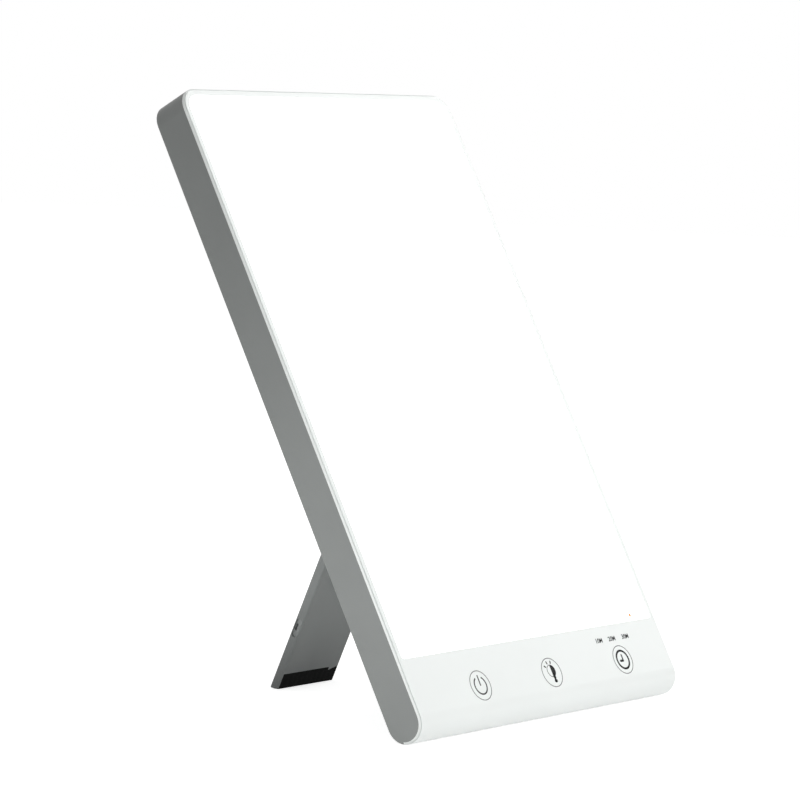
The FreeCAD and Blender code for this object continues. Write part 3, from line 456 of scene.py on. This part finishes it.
@dataclass(frozen=True)
class Metal:
    """Metal with brushed or drawn lines, worn tone and uneven polish."""

    name: str
    colour: Colour
    roughness: float = 0.3
    lines: Point = (1, 14, 14)
    line_size: float = 1.2 * MM
    line_depth: float = 0.01 * MM
    stain: float = 5 * MM
    worn_share: float = 0.9
    smoother: float = 0.07
    rougher: float = 0.1

    def material(self) -> bpy.types.Material:
        """Material of the metal."""
        graph = Graph(self.name)
        brush = graph.noise(self.line_size, DETAIL_BRUSHED, graph.stretched(self.lines))
        stain = graph.noise(self.stain, DETAIL_SOFT)
        worn = shade(self.colour, self.worn_share)
        graph.put(
            base_color=graph.blend(graph.sum(brush, stain), worn, self.colour),
            roughness=graph.spread(brush, self.roughness - self.smoother, self.roughness + self.rougher),
            metallic=1.0,
        )
        graph.relief(brush, self.line_depth, RELIEF_MIDDLE)
        return graph.material


@dataclass(frozen=True)
class Rubber:
    """Matt rubber with a skin texture, fine ribs across and a dusty tone."""

    name: str
    colour: Colour = (0.0028, 0.0032, 0.003)
    dusty: Colour = (0.0048, 0.0052, 0.0048)
    rib: float = 1.4 * MM
    rib_waver: float = 0.4
    ribbed: bool = True
    dust: float = 4 * MM
    skin: float = 0.5 * MM
    skin_depth: float = 0.06 * MM
    gloss: Span = (0.62, 0.78)
    sheen: float = 0.04

    def material(self) -> bpy.types.Material:
        """Material of the rubber."""
        graph = Graph(self.name)
        skin = graph.noise(self.skin, DETAIL_FINE)
        graph.put(
            base_color=graph.blend(graph.noise(self.dust, DETAIL_FINE), self.colour, self.dusty),
            roughness=graph.spread(skin, *self.gloss),
            specular_ior_level=self.sheen,
        )
        height = skin
        if self.ribbed:
            wave = graph.tree.nodes.new("ShaderNodeTexWave")
            wave.inputs["Scale"].default_value = 1 / (self.rib * WAVE_TURN)
            wave.inputs["Distortion"].default_value = self.rib_waver
            graph.tree.links.new(graph.places, wave.inputs["Vector"])
            height = graph.sum(skin, wave.outputs["Fac"])
        graph.relief(height, self.skin_depth, RELIEF_MIDDLE)
        return graph.material


@dataclass(frozen=True)
class Acrylic:
    """Clear acrylic with a printed dot pattern that sends the light forwards."""

    name: str
    colour: Colour = (0.93, 0.97, 0.98)
    dot_colour: Colour = (0.97, 0.98, 0.98)
    dots: float = 1.6 * MM
    dot_depth: float = 0.02 * MM
    gloss: Span = (0.35, 0.08)
    clearness: float = 0.9

    def material(self) -> bpy.types.Material:
        """Material of the clear light guide."""
        graph = Graph(self.name)
        dot = graph.cells(self.dots)
        graph.put(
            base_color=graph.blend(dot, self.dot_colour, self.colour),
            roughness=graph.spread(dot, *self.gloss),
            transmission_weight=self.clearness,
            ior=ACRYLIC_IOR,
        )
        graph.relief(dot, self.dot_depth, RELIEF_SOFT)
        return graph.material


@dataclass(frozen=True)
class BoardMask:
    """Solder mask over copper tracks."""

    name: str
    colour: Colour
    track: Colour
    track_scale: float = 260.0
    track_width: float = 0.06
    track_length: float = 1.3
    smear: float = 3 * MM
    weave: float = 0.4 * MM
    weave_depth: float = 0.02 * MM
    gloss: Span = (0.26, 0.4)
    varnish: float = 0.3
    deep_share: float = 0.8
    upright: Point = (90, 0, 0)

    def material(self) -> bpy.types.Material:
        """Material of the circuit board."""
        graph = Graph(self.name)
        tracks = graph.tree.nodes.new("ShaderNodeTexBrick")
        tracks.inputs["Scale"].default_value = self.track_scale
        tracks.inputs["Mortar Size"].default_value = self.track_width
        tracks.inputs["Brick Width"].default_value = self.track_length
        tracks.inputs["Color1"].default_value = (*self.colour, 1)
        tracks.inputs["Color2"].default_value = (*shade(self.colour, self.deep_share), 1)
        tracks.inputs["Mortar"].default_value = (*self.track, 1)
        places = graph.stretched((1, 1, 1), self.upright)
        graph.tree.links.new(places, tracks.inputs["Vector"])
        graph.put(
            base_color=tracks.outputs["Color"],
            roughness=graph.spread(graph.noise(self.smear), *self.gloss),
            coat_weight=self.varnish,
        )
        relief = graph.sum(tracks.outputs["Fac"], graph.noise(self.weave))
        graph.relief(relief, self.weave_depth, RELIEF_SOFT)
        return graph.material


@dataclass(frozen=True)
class Phosphor:
    """Yellow phosphor that bleeds into its white package."""

    name: str
    glow: Colour = (1.0, 0.93, 0.7)
    yellow: Colour = (0.8, 0.62, 0.18)
    pale: Colour = (0.9, 0.85, 0.6)
    dim_share: float = 0.8
    speck: float = 0.7 * MM
    speck_depth: float = 0.03 * MM
    gloss: Span = (0.35, 0.5)

    def material(self) -> bpy.types.Material:
        """Material of the lamp packages."""
        graph = Graph(self.name)
        speck = graph.noise(self.speck, DETAIL_FINE)
        graph.put(
            base_color=graph.blend(speck, self.yellow, self.pale),
            roughness=graph.spread(speck, *self.gloss),
            emission_color=graph.blend(speck, shade(self.glow, self.dim_share), self.glow),
            emission_strength=1.0,
        )
        graph.relief(speck, self.speck_depth, RELIEF_MIDDLE)
        return graph.material


@dataclass(frozen=True)
class Ink:
    """Printed ink with a slightly mottled edge and a satin face."""

    name: str
    colour: Colour
    mottle: float = 0.25 * MM
    mottle_depth: float = 0.004 * MM
    pale_share: float = 1.25
    gloss: Span = (0.42, 0.55)
    sheen: float = 0.15

    def material(self) -> bpy.types.Material:
        """Material of the print."""
        graph = Graph(self.name)
        mottle = graph.noise(self.mottle, DETAIL_FINE)
        graph.put(
            base_color=graph.blend(mottle, self.colour, shade(self.colour, self.pale_share)),
            roughness=graph.spread(mottle, *self.gloss),
            specular_ior_level=self.sheen,
        )
        graph.relief(mottle, self.mottle_depth, RELIEF_MIDDLE)
        return graph.material


@dataclass(frozen=True)
class Lens:
    """Small lit lens with a deeper tone in soft swirls."""

    name: str
    colour: Colour
    strength: float
    swirl: float = 0.4 * MM
    swirl_depth: float = 0.01 * MM
    deep_share: float = 0.6
    dim_share: float = 0.7
    gloss: Span = (0.15, 0.25)

    def material(self) -> bpy.types.Material:
        """Material of the lens."""
        graph = Graph(self.name)
        swirl = graph.noise(self.swirl, DETAIL_SOFT)
        graph.put(
            base_color=graph.blend(swirl, shade(self.colour, self.deep_share), self.colour),
            roughness=graph.spread(swirl, *self.gloss),
            emission_color=graph.blend(swirl, shade(self.colour, self.dim_share), self.colour),
            emission_strength=self.strength,
        )
        graph.relief(swirl, self.swirl_depth, RELIEF_SOFT)
        return graph.material


@dataclass
class Palette:
    """All the finishes of the lamp, and the record's slots that they dress."""

    housing: Moulded = Moulded(
        "satin_grey_shell",
        (0.243, 0.256, 0.25),
        0.46,
        # Painted light towards the shell's foot and painted shade towards its top.
        foot_painted_light=1.06,
        head_painted_light=0.88,
        painted_light_height=215 * MM,
    )
    leg: Moulded = Moulded(
        "satin_grey_leg",
        (0.317, 0.335, 0.33),
        0.48,
        # Painted shade darkens the leg towards its foot and on its two flanks; painted light brightens its
        # upper part.
        foot_painted_light=0.46,
        head_painted_light=1.36,
        painted_light_height=36 * MM,
        flank_half=16 * MM,
        flank_painted_shade=0.72,
    )
    cover: Moulded = Moulded("white_cover", (0.862, 0.892, 0.876), 0.34, 0.6 * MM, 0.006 * MM, 0.008, 0.25)
    opal: Glow = Glow("lit_opal")
    ring_ink: Ink = Ink("pale_grey_ink", (0.13, 0.13, 0.13))
    mark_ink: Ink = Ink("dark_ink", (0.003, 0.003, 0.003))
    soft_ink: Ink = Ink("mid_grey_ink", (0.045, 0.045, 0.045))
    made: dict[str, bpy.types.Material] = field(default_factory=dict)

    def by_slot(self) -> dict[str, Finish]:
        """The finish of each material slot in the record."""
        return {
            "housing_grey": self.housing,
            "leg_grey": self.leg,
            "cover_white": self.cover,
            "opal": self.opal,
            "optical_film": Moulded("optical_film", (0.86, 0.88, 0.9), 0.3, 0.2 * MM),
            "clear_acrylic": Acrylic("clear_guide"),
            "reflector_white": Moulded("white_reflector", (0.88, 0.88, 0.86), 0.25, 0.3 * MM),
            "spreader_metal": Metal("rolled_sheet", (0.72, 0.74, 0.76), 0.35, (14, 14, 1)),
            "board_white": BoardMask("white_mask", (0.82, 0.83, 0.79), (0.7, 0.66, 0.5)),
            "board_green": BoardMask("green_mask", (0.02, 0.13, 0.05), (0.04, 0.2, 0.08)),
            "lamp_phosphor": Phosphor("phosphor"),
            "copper": Metal("bare_copper", (0.78, 0.38, 0.24), 0.28),
            "component_black": Moulded("black_epoxy", (0.02, 0.02, 0.022), 0.5, 0.15 * MM),
            "component_can": Metal("drawn_can", (0.66, 0.67, 0.7), 0.28, (1, 12, 12)),
            "connector_cream": Moulded("cream_nylon", (0.74, 0.69, 0.55), 0.5, 0.3 * MM),
            "wire_black": Rubber("wire_sleeve", ribbed=False),
            "inlet_black": Moulded("black_socket", (0.016, 0.016, 0.018), 0.42, 0.2 * MM),
            "contact_metal": Metal("plated_contact", (0.8, 0.77, 0.68), 0.18, (1, 20, 20), 0.5 * MM),
            "screw_steel": Metal("zinc_steel", (0.6, 0.61, 0.63), 0.3, (9, 9, 9), 0.8 * MM),
            "hinge_steel": Metal("brushed_hinge", (0.56, 0.57, 0.59), 0.33),
            "foot_rubber": Rubber("foot_rubber"),
            "amber_lens": Lens("amber_lens", (0.8, 0.28, 0.03), 0.35),
        }

    def get(self, finish: Finish) -> bpy.types.Material:
        """The material of a finish, made once.

        Args:
            finish: The finish.

        Returns:
            Its material.
        """
        if finish.name not in self.made:
            self.made[finish.name] = finish.material()
        return self.made[finish.name]

    def dress_frame(self, nodes: dict[str, bpy.types.Object], record: dict) -> None:
        """Give every carried-over node the finish of its slot.

        Args:
            nodes: The frame's objects by node name.
            record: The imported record.
        """
        finishes = self.by_slot()
        for part in record["subparts"]:
            material = self.get(finishes[part["material_slot"]])
            mesh = nodes[part["node"]].data
            mesh.materials.clear()
            mesh.materials.append(material)
            LOG.info("%s dressed in %s", part["node"], material.name)


class Bench:
    """Ways to start, select and finish pieces with Blender's own operators."""

    @staticmethod
    def clear() -> None:
        """Leave edit mode and deselect everything."""
        if bpy.context.object and bpy.context.object.mode != "OBJECT":
            bpy.ops.object.mode_set(mode="OBJECT")
        bpy.ops.object.select_all(action="DESELECT")

    @staticmethod
    def only(piece: bpy.types.Object) -> None:
        """Select one object and make it the active one.

        Args:
            piece: The object.
        """
        Bench.clear()
        piece.select_set(True)
        bpy.context.view_layer.objects.active = piece

    @staticmethod
    def choose(piece: bpy.types.Object, test: Callable[[Vector], bool]) -> None:
        """Select the faces of a piece that pass a test, and go to edit mode.

        Args:
            piece: The piece.
            test: Takes a face's centre.
        """
        Bench.only(piece)
        bpy.ops.object.mode_set(mode="EDIT")
        bpy.ops.mesh.select_mode(type="FACE")
        bpy.ops.mesh.select_all(action="DESELECT")
        bpy.ops.object.mode_set(mode="OBJECT")
        for polygon in piece.data.polygons:
            polygon.select = test(polygon.center)
        bpy.ops.object.mode_set(mode="EDIT")

    @staticmethod
    def apply(piece: bpy.types.Object) -> None:
        """Apply every modifier of a piece.

        Args:
            piece: The piece.
        """
        Bench.only(piece)
        for name in [modifier.name for modifier in piece.modifiers]:
            bpy.ops.object.modifier_apply(modifier=name)

    @staticmethod
    def join(pieces: Sequence[bpy.types.Object]) -> bpy.types.Object:
        """Join several pieces into the first.

        Args:
            pieces: The pieces.

        Returns:
            The joined piece.
        """
        Bench.clear()
        for piece in pieces:
            piece.select_set(True)
        bpy.context.view_layer.objects.active = pieces[0]
        if len(pieces) > 1:
            bpy.ops.object.join()
        return pieces[0]

    @staticmethod
    def settle(piece: bpy.types.Object, matrix: Matrix) -> None:
        """Lay a piece in its place and leave its object at the origin.

        Args:
            piece: The piece.
            matrix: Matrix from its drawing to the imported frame.
        """
        Bench.only(piece)
        bpy.ops.object.transform_apply(location=True, rotation=True, scale=True)
        piece.matrix_world = matrix
        bpy.ops.object.transform_apply(location=True, rotation=True, scale=True)
        bpy.ops.object.mode_set(mode="EDIT")
        bpy.ops.mesh.select_all(action="SELECT")
        bpy.ops.mesh.remove_doubles(threshold=WELD)
        bpy.ops.mesh.normals_make_consistent(inside=False)
        bpy.ops.object.mode_set(mode="OBJECT")

    @staticmethod
    def hand_over(
        piece: bpy.types.Object, name: str, material: bpy.types.Material, body: Body, slot: Slot
    ) -> None:
        """Name and dress a finished piece and let it ride on its body.

        Args:
            piece: The piece.
            name: Its name.
            material: Its material.
            body: The body that it moves with.
            slot: The record's slot of its finish; not used.
        """
        piece.name = name
        piece.data.name = name
        piece.data.materials.clear()
        piece.data.materials.append(material)
        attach(piece, body.value)
        LOG.info("%s: %d faces on %s", name, len(piece.data.polygons), body.value)


@dataclass
class KeyPrints:
    """Printed key rings, key signs and minute marks on the control strip."""

    palette: Palette
    key_x: tuple[float, float, float] = (-38.2, 3.3, 46.8)
    key_y: float = 13.4
    ring_radius: float = 5.3
    ring_width: float = 0.28
    film: float = 0.05
    sink: float = 0.02
    power_radius: float = 3.15
    power_width: float = 0.56
    power_gap: float = 58.0
    power_bar_foot: float = 0.1
    power_bar_past_ring: float = 0.35
    clock_radius: float = 3.4
    clock_width: float = 0.78
    hand_width: float = 0.85
    hand_root: float = -0.35
    hour_hand_reach: float = 1.55
    minute_hand_top: float = 1.75
    minute_hand_share: float = 0.75
    bulb_radius: float = 2.2
    bulb_lift: float = 0.6
    bulb_line: float = 0.2
    neck_x: float = 0.62
    neck_start: float = 0.6
    neck_end: float = -1.9
    neck_width: float = 1.35
    base_y: float = -3.15
    base_half: float = 0.15
    base_width: float = 1.3
    ray_angles: tuple[float, float, float] = (34, 72, 110)
    ray_gap: float = 0.7
    ray_length: float = 0.75
    ray_width: float = 0.5
    mark_weight: float = 0.045
    minute_x: tuple[float, float, float] = (37.1, 45.1, 53.4)
    minute_y: float = 21.6
    minute_height: float = 1.75
    minute_words: tuple[str, str, str] = ("10M", "20M", "30M")

    def build(self) -> None:
        """Make all the prints."""
        rings = [self.ring(x, self.ring_radius, self.ring_width) for x in self.key_x]
        self.lay(rings, "key_rings", self.palette.ring_ink)
        self.lay(self.power_sign(self.key_x[0]), "power_sign", self.palette.soft_ink)
        self.lay(self.bulb_sign(self.key_x[1]), "brightness_sign", self.palette.mark_ink)
        self.lay(self.clock_sign(self.key_x[2]), "timer_sign", self.palette.mark_ink)
        self.lay(self.minute_marks(), "minute_marks", self.palette.mark_ink)

    def lay(self, parts: list[bpy.types.Object], name: str, ink: Ink) -> None:
        """Give flat parts the print's thickness and lay them on the strip.

        Args:
            parts: Flat parts in face coordinates.
            name: Name of the finished print.
            ink: Its finish.
        """
        piece = Bench.join(parts)
        solid = piece.modifiers.new("film", "SOLIDIFY")
        solid.thickness = self.film
        solid.offset = -1
        Bench.apply(piece)
        Bench.settle(piece, face_matrix() @ Matrix.Translation((0, 0, self.film - self.sink)))
        Bench.hand_over(piece, name, self.palette.get(ink), Body.PANEL, Slot.INK)

    def ring(self, x: float, radius: float, width: float) -> bpy.types.Object:
        """Flat ring.

        Args:
            x: Place of its centre along the strip.
            radius: Radius at the middle of its line.
            width: Width of its line.

        Returns:
            The flat ring.
        """
        Bench.clear()
        bpy.ops.mesh.primitive_circle_add(
            vertices=RING_SIDES, radius=radius + width / 2, fill_type="NGON", location=(x, self.key_y, 0)
        )
        piece = bpy.context.object
        Bench.choose(piece, lambda centre: True)
        bpy.ops.mesh.inset(thickness=width, depth=0)
        bpy.ops.mesh.delete(type="FACE")
        bpy.ops.object.mode_set(mode="OBJECT")
        return piece

    def bar(self, start: Flat, end: Flat, width: float) -> bpy.types.Object:
        """Flat bar with rounded ends.

        Args:
            start: Middle of its first end.
            end: Middle of its last end.
            width: Its width.

        Returns:
            The flat bar.
        """
        Bench.clear()
        run = Vector((end[0] - start[0], end[1] - start[1], 0))
        middle = ((start[0] + end[0]) / 2, (start[1] + end[1]) / 2, 0)
        turn = math.atan2(run.y, run.x)
        bpy.ops.mesh.primitive_plane_add(size=1, location=middle, rotation=(0, 0, turn))
        piece = bpy.context.object
        piece.scale = (run.length + width, width, 1)
        bpy.ops.object.transform_apply(location=True, rotation=True, scale=True)
        bpy.ops.object.mode_set(mode="EDIT")
        bpy.ops.mesh.select_all(action="SELECT")
        bpy.ops.mesh.bevel(offset=width * BAR_END_SHARE, segments=BAR_END_STEPS, affect="VERTICES")
        bpy.ops.object.mode_set(mode="OBJECT")
        return piece

    def power_sign(self, x: float) -> list[bpy.types.Object]:
        """Ring open at its top, with an upright bar in the opening.

        Args:
            x: Place of its centre along the strip.

        Returns:
            The flat parts.
        """
        ring = self.ring(x, self.power_radius, self.power_width)
        half_gap = math.radians(self.power_gap / 2)

        def in_gap(centre: Vector) -> bool:
            return abs(math.atan2(centre.x, centre.y)) < half_gap

        Bench.only(ring)
        bpy.ops.object.transform_apply(location=False, rotation=False, scale=True)
        Bench.choose(ring, in_gap)
        bpy.ops.mesh.delete(type="FACE")
        bpy.ops.object.mode_set(mode="OBJECT")
        foot = self.key_y + self.power_bar_foot
        top = self.key_y + self.power_radius + self.power_bar_past_ring
        return [ring, self.bar((x, foot), (x, top), self.power_width)]

    def clock_sign(self, x: float) -> list[bpy.types.Object]:
        """Closed ring with two hands.

        Args:
            x: Place of its centre along the strip.

        Returns:
            The flat parts.
        """
        root = self.key_y + self.hand_root
        top = self.key_y + self.minute_hand_top
        return [
            self.ring(x, self.clock_radius, self.clock_width),
            self.bar((x, root), (x, top), self.hand_width * self.minute_hand_share),
            self.bar((x, root), (x - self.hour_hand_reach, root), self.hand_width),
        ]

    def bulb_sign(self, x: float) -> list[bpy.types.Object]:
        """Bulb that is filled on its right half, with its base and three rays.

        Args:
            x: Place of its centre along the strip.

        Returns:
            The flat parts.
        """
        centre_y = self.key_y + self.bulb_lift
        outline = self.ring(x, self.bulb_radius, self.bulb_line)
        outline.location.y = centre_y
        Bench.clear()
        bpy.ops.mesh.primitive_circle_add(
            vertices=FILL_SIDES, radius=self.bulb_radius, fill_type="NGON", location=(x, centre_y, 0)
        )
        filled = bpy.context.object
        bpy.ops.object.mode_set(mode="EDIT")
        bpy.ops.mesh.select_all(action="SELECT")
        bpy.ops.mesh.bisect(
            plane_co=(x, centre_y, 0), plane_no=(1, 0, 0), use_fill=False, clear_inner=True
        )
        bpy.ops.object.mode_set(mode="OBJECT")
        neck_x = x + self.neck_x
        neck_top = centre_y - self.bulb_radius + self.neck_start
        neck = self.bar((neck_x, neck_top), (neck_x, self.key_y + self.neck_end), self.neck_width)
        base_y = self.key_y + self.base_y
        base = self.bar(
            (neck_x - self.base_half, base_y), (neck_x + self.base_half, base_y), self.base_width
        )
        near = self.bulb_radius + self.ray_gap
        far = near + self.ray_length
        rays = []
        for angle in self.ray_angles:
            turn = math.radians(angle)
            start = (x - near * math.cos(turn), centre_y + near * math.sin(turn))
            end = (x - far * math.cos(turn), centre_y + far * math.sin(turn))
            rays.append(self.bar(start, end, self.ray_width))
        return [outline, filled, neck, base] + rays

    def minute_marks(self) -> list[bpy.types.Object]:
        """Minute marks above the timer key.

        Returns:
            The flat marks.
        """
        marks = []
        for x, words in zip(self.minute_x, self.minute_words):
            Bench.clear()
            bpy.ops.object.text_add(location=(x, self.minute_y, 0))
            piece = bpy.context.object
            piece.data.body = words
            piece.data.size = self.minute_height / LETTER_CAP_SHARE
            piece.data.align_x = "CENTER"
            piece.data.align_y = "CENTER"
            piece.data.offset = self.mark_weight
            piece.data.resolution_u = LETTER_STEPS
            bpy.ops.object.convert(target="MESH")
            marks.append(bpy.context.object)
        return marks


@dataclass(frozen=True)
class SoftLight:
    """A soft square light."""

    name: str
    place: Point
    aim: Point
    size: float
    watts: float


LIGHTS = (
    SoftLight("key_light", (0.35, -1.5, 1.0), (0, 0, 0.1), 1.1, 10.2),
    SoftLight("front_fill", (0.12, -1.2, 0.12), (0, 0, 0.02), 0.6, 3.2),
    SoftLight("low_left_light", (-0.256, -0.02, 0.04), (-0.076, -0.03, 0.04), 0.12, 0.17),
    SoftLight("right_fill", (1.4, -0.2, 0.9), (0, 0, 0.1), 1.0, 6.3),
)


@dataclass
class Studio:
    """Floor, surroundings, lights and the camera."""

    camera_place: Point = (-1.037437, -0.79527, 0.210124)
    camera_turn: Point = (85.49911, -1.31927, -52.12374)
    lens: float = 166.5
    sensor: float = 36.0
    sight: float = 50.0
    floor_size: float = 9.0
    world_level: float = 0.36
    floor_colour: Colour = (0.86, 0.86, 0.86)
    floor_glow: float = 0.74

    def build(self) -> None:
        """Make the studio."""
        self.camera()
        self.world()
        self.floor()
        for light in LIGHTS:
            self.shine(light)

    def camera(self) -> None:
        """Camera at the photograph's viewing angle."""
        data = bpy.data.cameras.new("camera")
        data.lens = self.lens
        data.sensor_width = self.sensor
        data.clip_end = self.sight
        camera = bpy.data.objects.new("camera", data)
        camera.location = self.camera_place
        camera.rotation_euler = Euler([math.radians(angle) for angle in self.camera_turn])
        bpy.context.scene.collection.objects.link(camera)
        bpy.context.scene.camera = camera

    def world(self) -> None:
        """Even white surroundings that show as white and light the lamp more softly."""
        world = bpy.data.worlds.new("studio")
        world.use_nodes = True
        tree = world.node_tree
        background = tree.nodes["Background"]
        level = tree.nodes.new("ShaderNodeMapRange")
        level.inputs["To Min"].default_value = self.world_level
        level.inputs["To Max"].default_value = 1.0
        tree.links.new(self.seen(tree), level.inputs["Value"])
        tree.links.new(level.outputs["Result"], background.inputs["Strength"])
        background.inputs["Color"].default_value = (1, 1, 1, 1)
        bpy.context.scene.world = world

    @staticmethod
    def seen(tree: bpy.types.NodeTree) -> bpy.types.NodeSocket:
        """Value that is 1 for rays that show a surface: camera, mirror and glass rays.

        Args:
            tree: The node tree.

        Returns:
            The value socket.
        """
        rays = tree.nodes.new("ShaderNodeLightPath").outputs
        shown = worked(tree, "MAXIMUM", rays["Is Camera Ray"], rays["Is Glossy Ray"])
        return worked(tree, "MAXIMUM", shown, rays["Is Transmission Ray"])

    def floor(self) -> None:
        """Plain pale floor that shows as white and keeps the lamp's shadow."""
        Bench.clear()
        bpy.ops.mesh.primitive_plane_add(size=self.floor_size, location=(0, 0, 0))
        floor = bpy.context.object
        floor.name = "floor"
        material = bpy.data.materials.new("pale_floor")
        material.use_nodes = True
        tree = material.node_tree
        tree.nodes.clear()
        output = tree.nodes.new("ShaderNodeOutputMaterial")
        matt = tree.nodes.new("ShaderNodeBsdfDiffuse")
        matt.inputs["Color"].default_value = (*self.floor_colour, 1)
        light = tree.nodes.new("ShaderNodeEmission")
        level = tree.nodes.new("ShaderNodeMapRange")
        level.inputs["To Max"].default_value = self.floor_glow
        tree.links.new(self.seen(tree), level.inputs["Value"])
        tree.links.new(level.outputs["Result"], light.inputs["Strength"])
        both = tree.nodes.new("ShaderNodeAddShader")
        tree.links.new(matt.outputs["BSDF"], both.inputs[0])
        tree.links.new(light.outputs["Emission"], both.inputs[1])
        tree.links.new(both.outputs["Shader"], output.inputs["Surface"])
        floor.data.materials.append(material)

    @staticmethod
    def shine(light: SoftLight) -> None:
        """Set up one light.

        Args:
            light: The light.
        """
        data = bpy.data.lights.new(light.name, "AREA")
        data.size = light.size
        data.energy = light.watts
        lamp = bpy.data.objects.new(light.name, data)
        lamp.location = light.place
        lamp.rotation_euler = (Vector(light.aim) - Vector(light.place)).to_track_quat("-Z", "Y").to_euler()
        bpy.context.scene.collection.objects.link(lamp)


def main() -> None:
    """Dress the frame, make the prints and set up the studio."""
    logging.basicConfig(level=logging.INFO, format="%(name)s: %(message)s")
    bpy.context.scene.view_settings.view_transform = "Standard"
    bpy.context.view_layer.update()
    palette = Palette()
    palette.dress_frame(frame["nodes"], frame["record"])
    KeyPrints(palette).build()
    Studio().build()


if __name__ == "__main__":
    main()
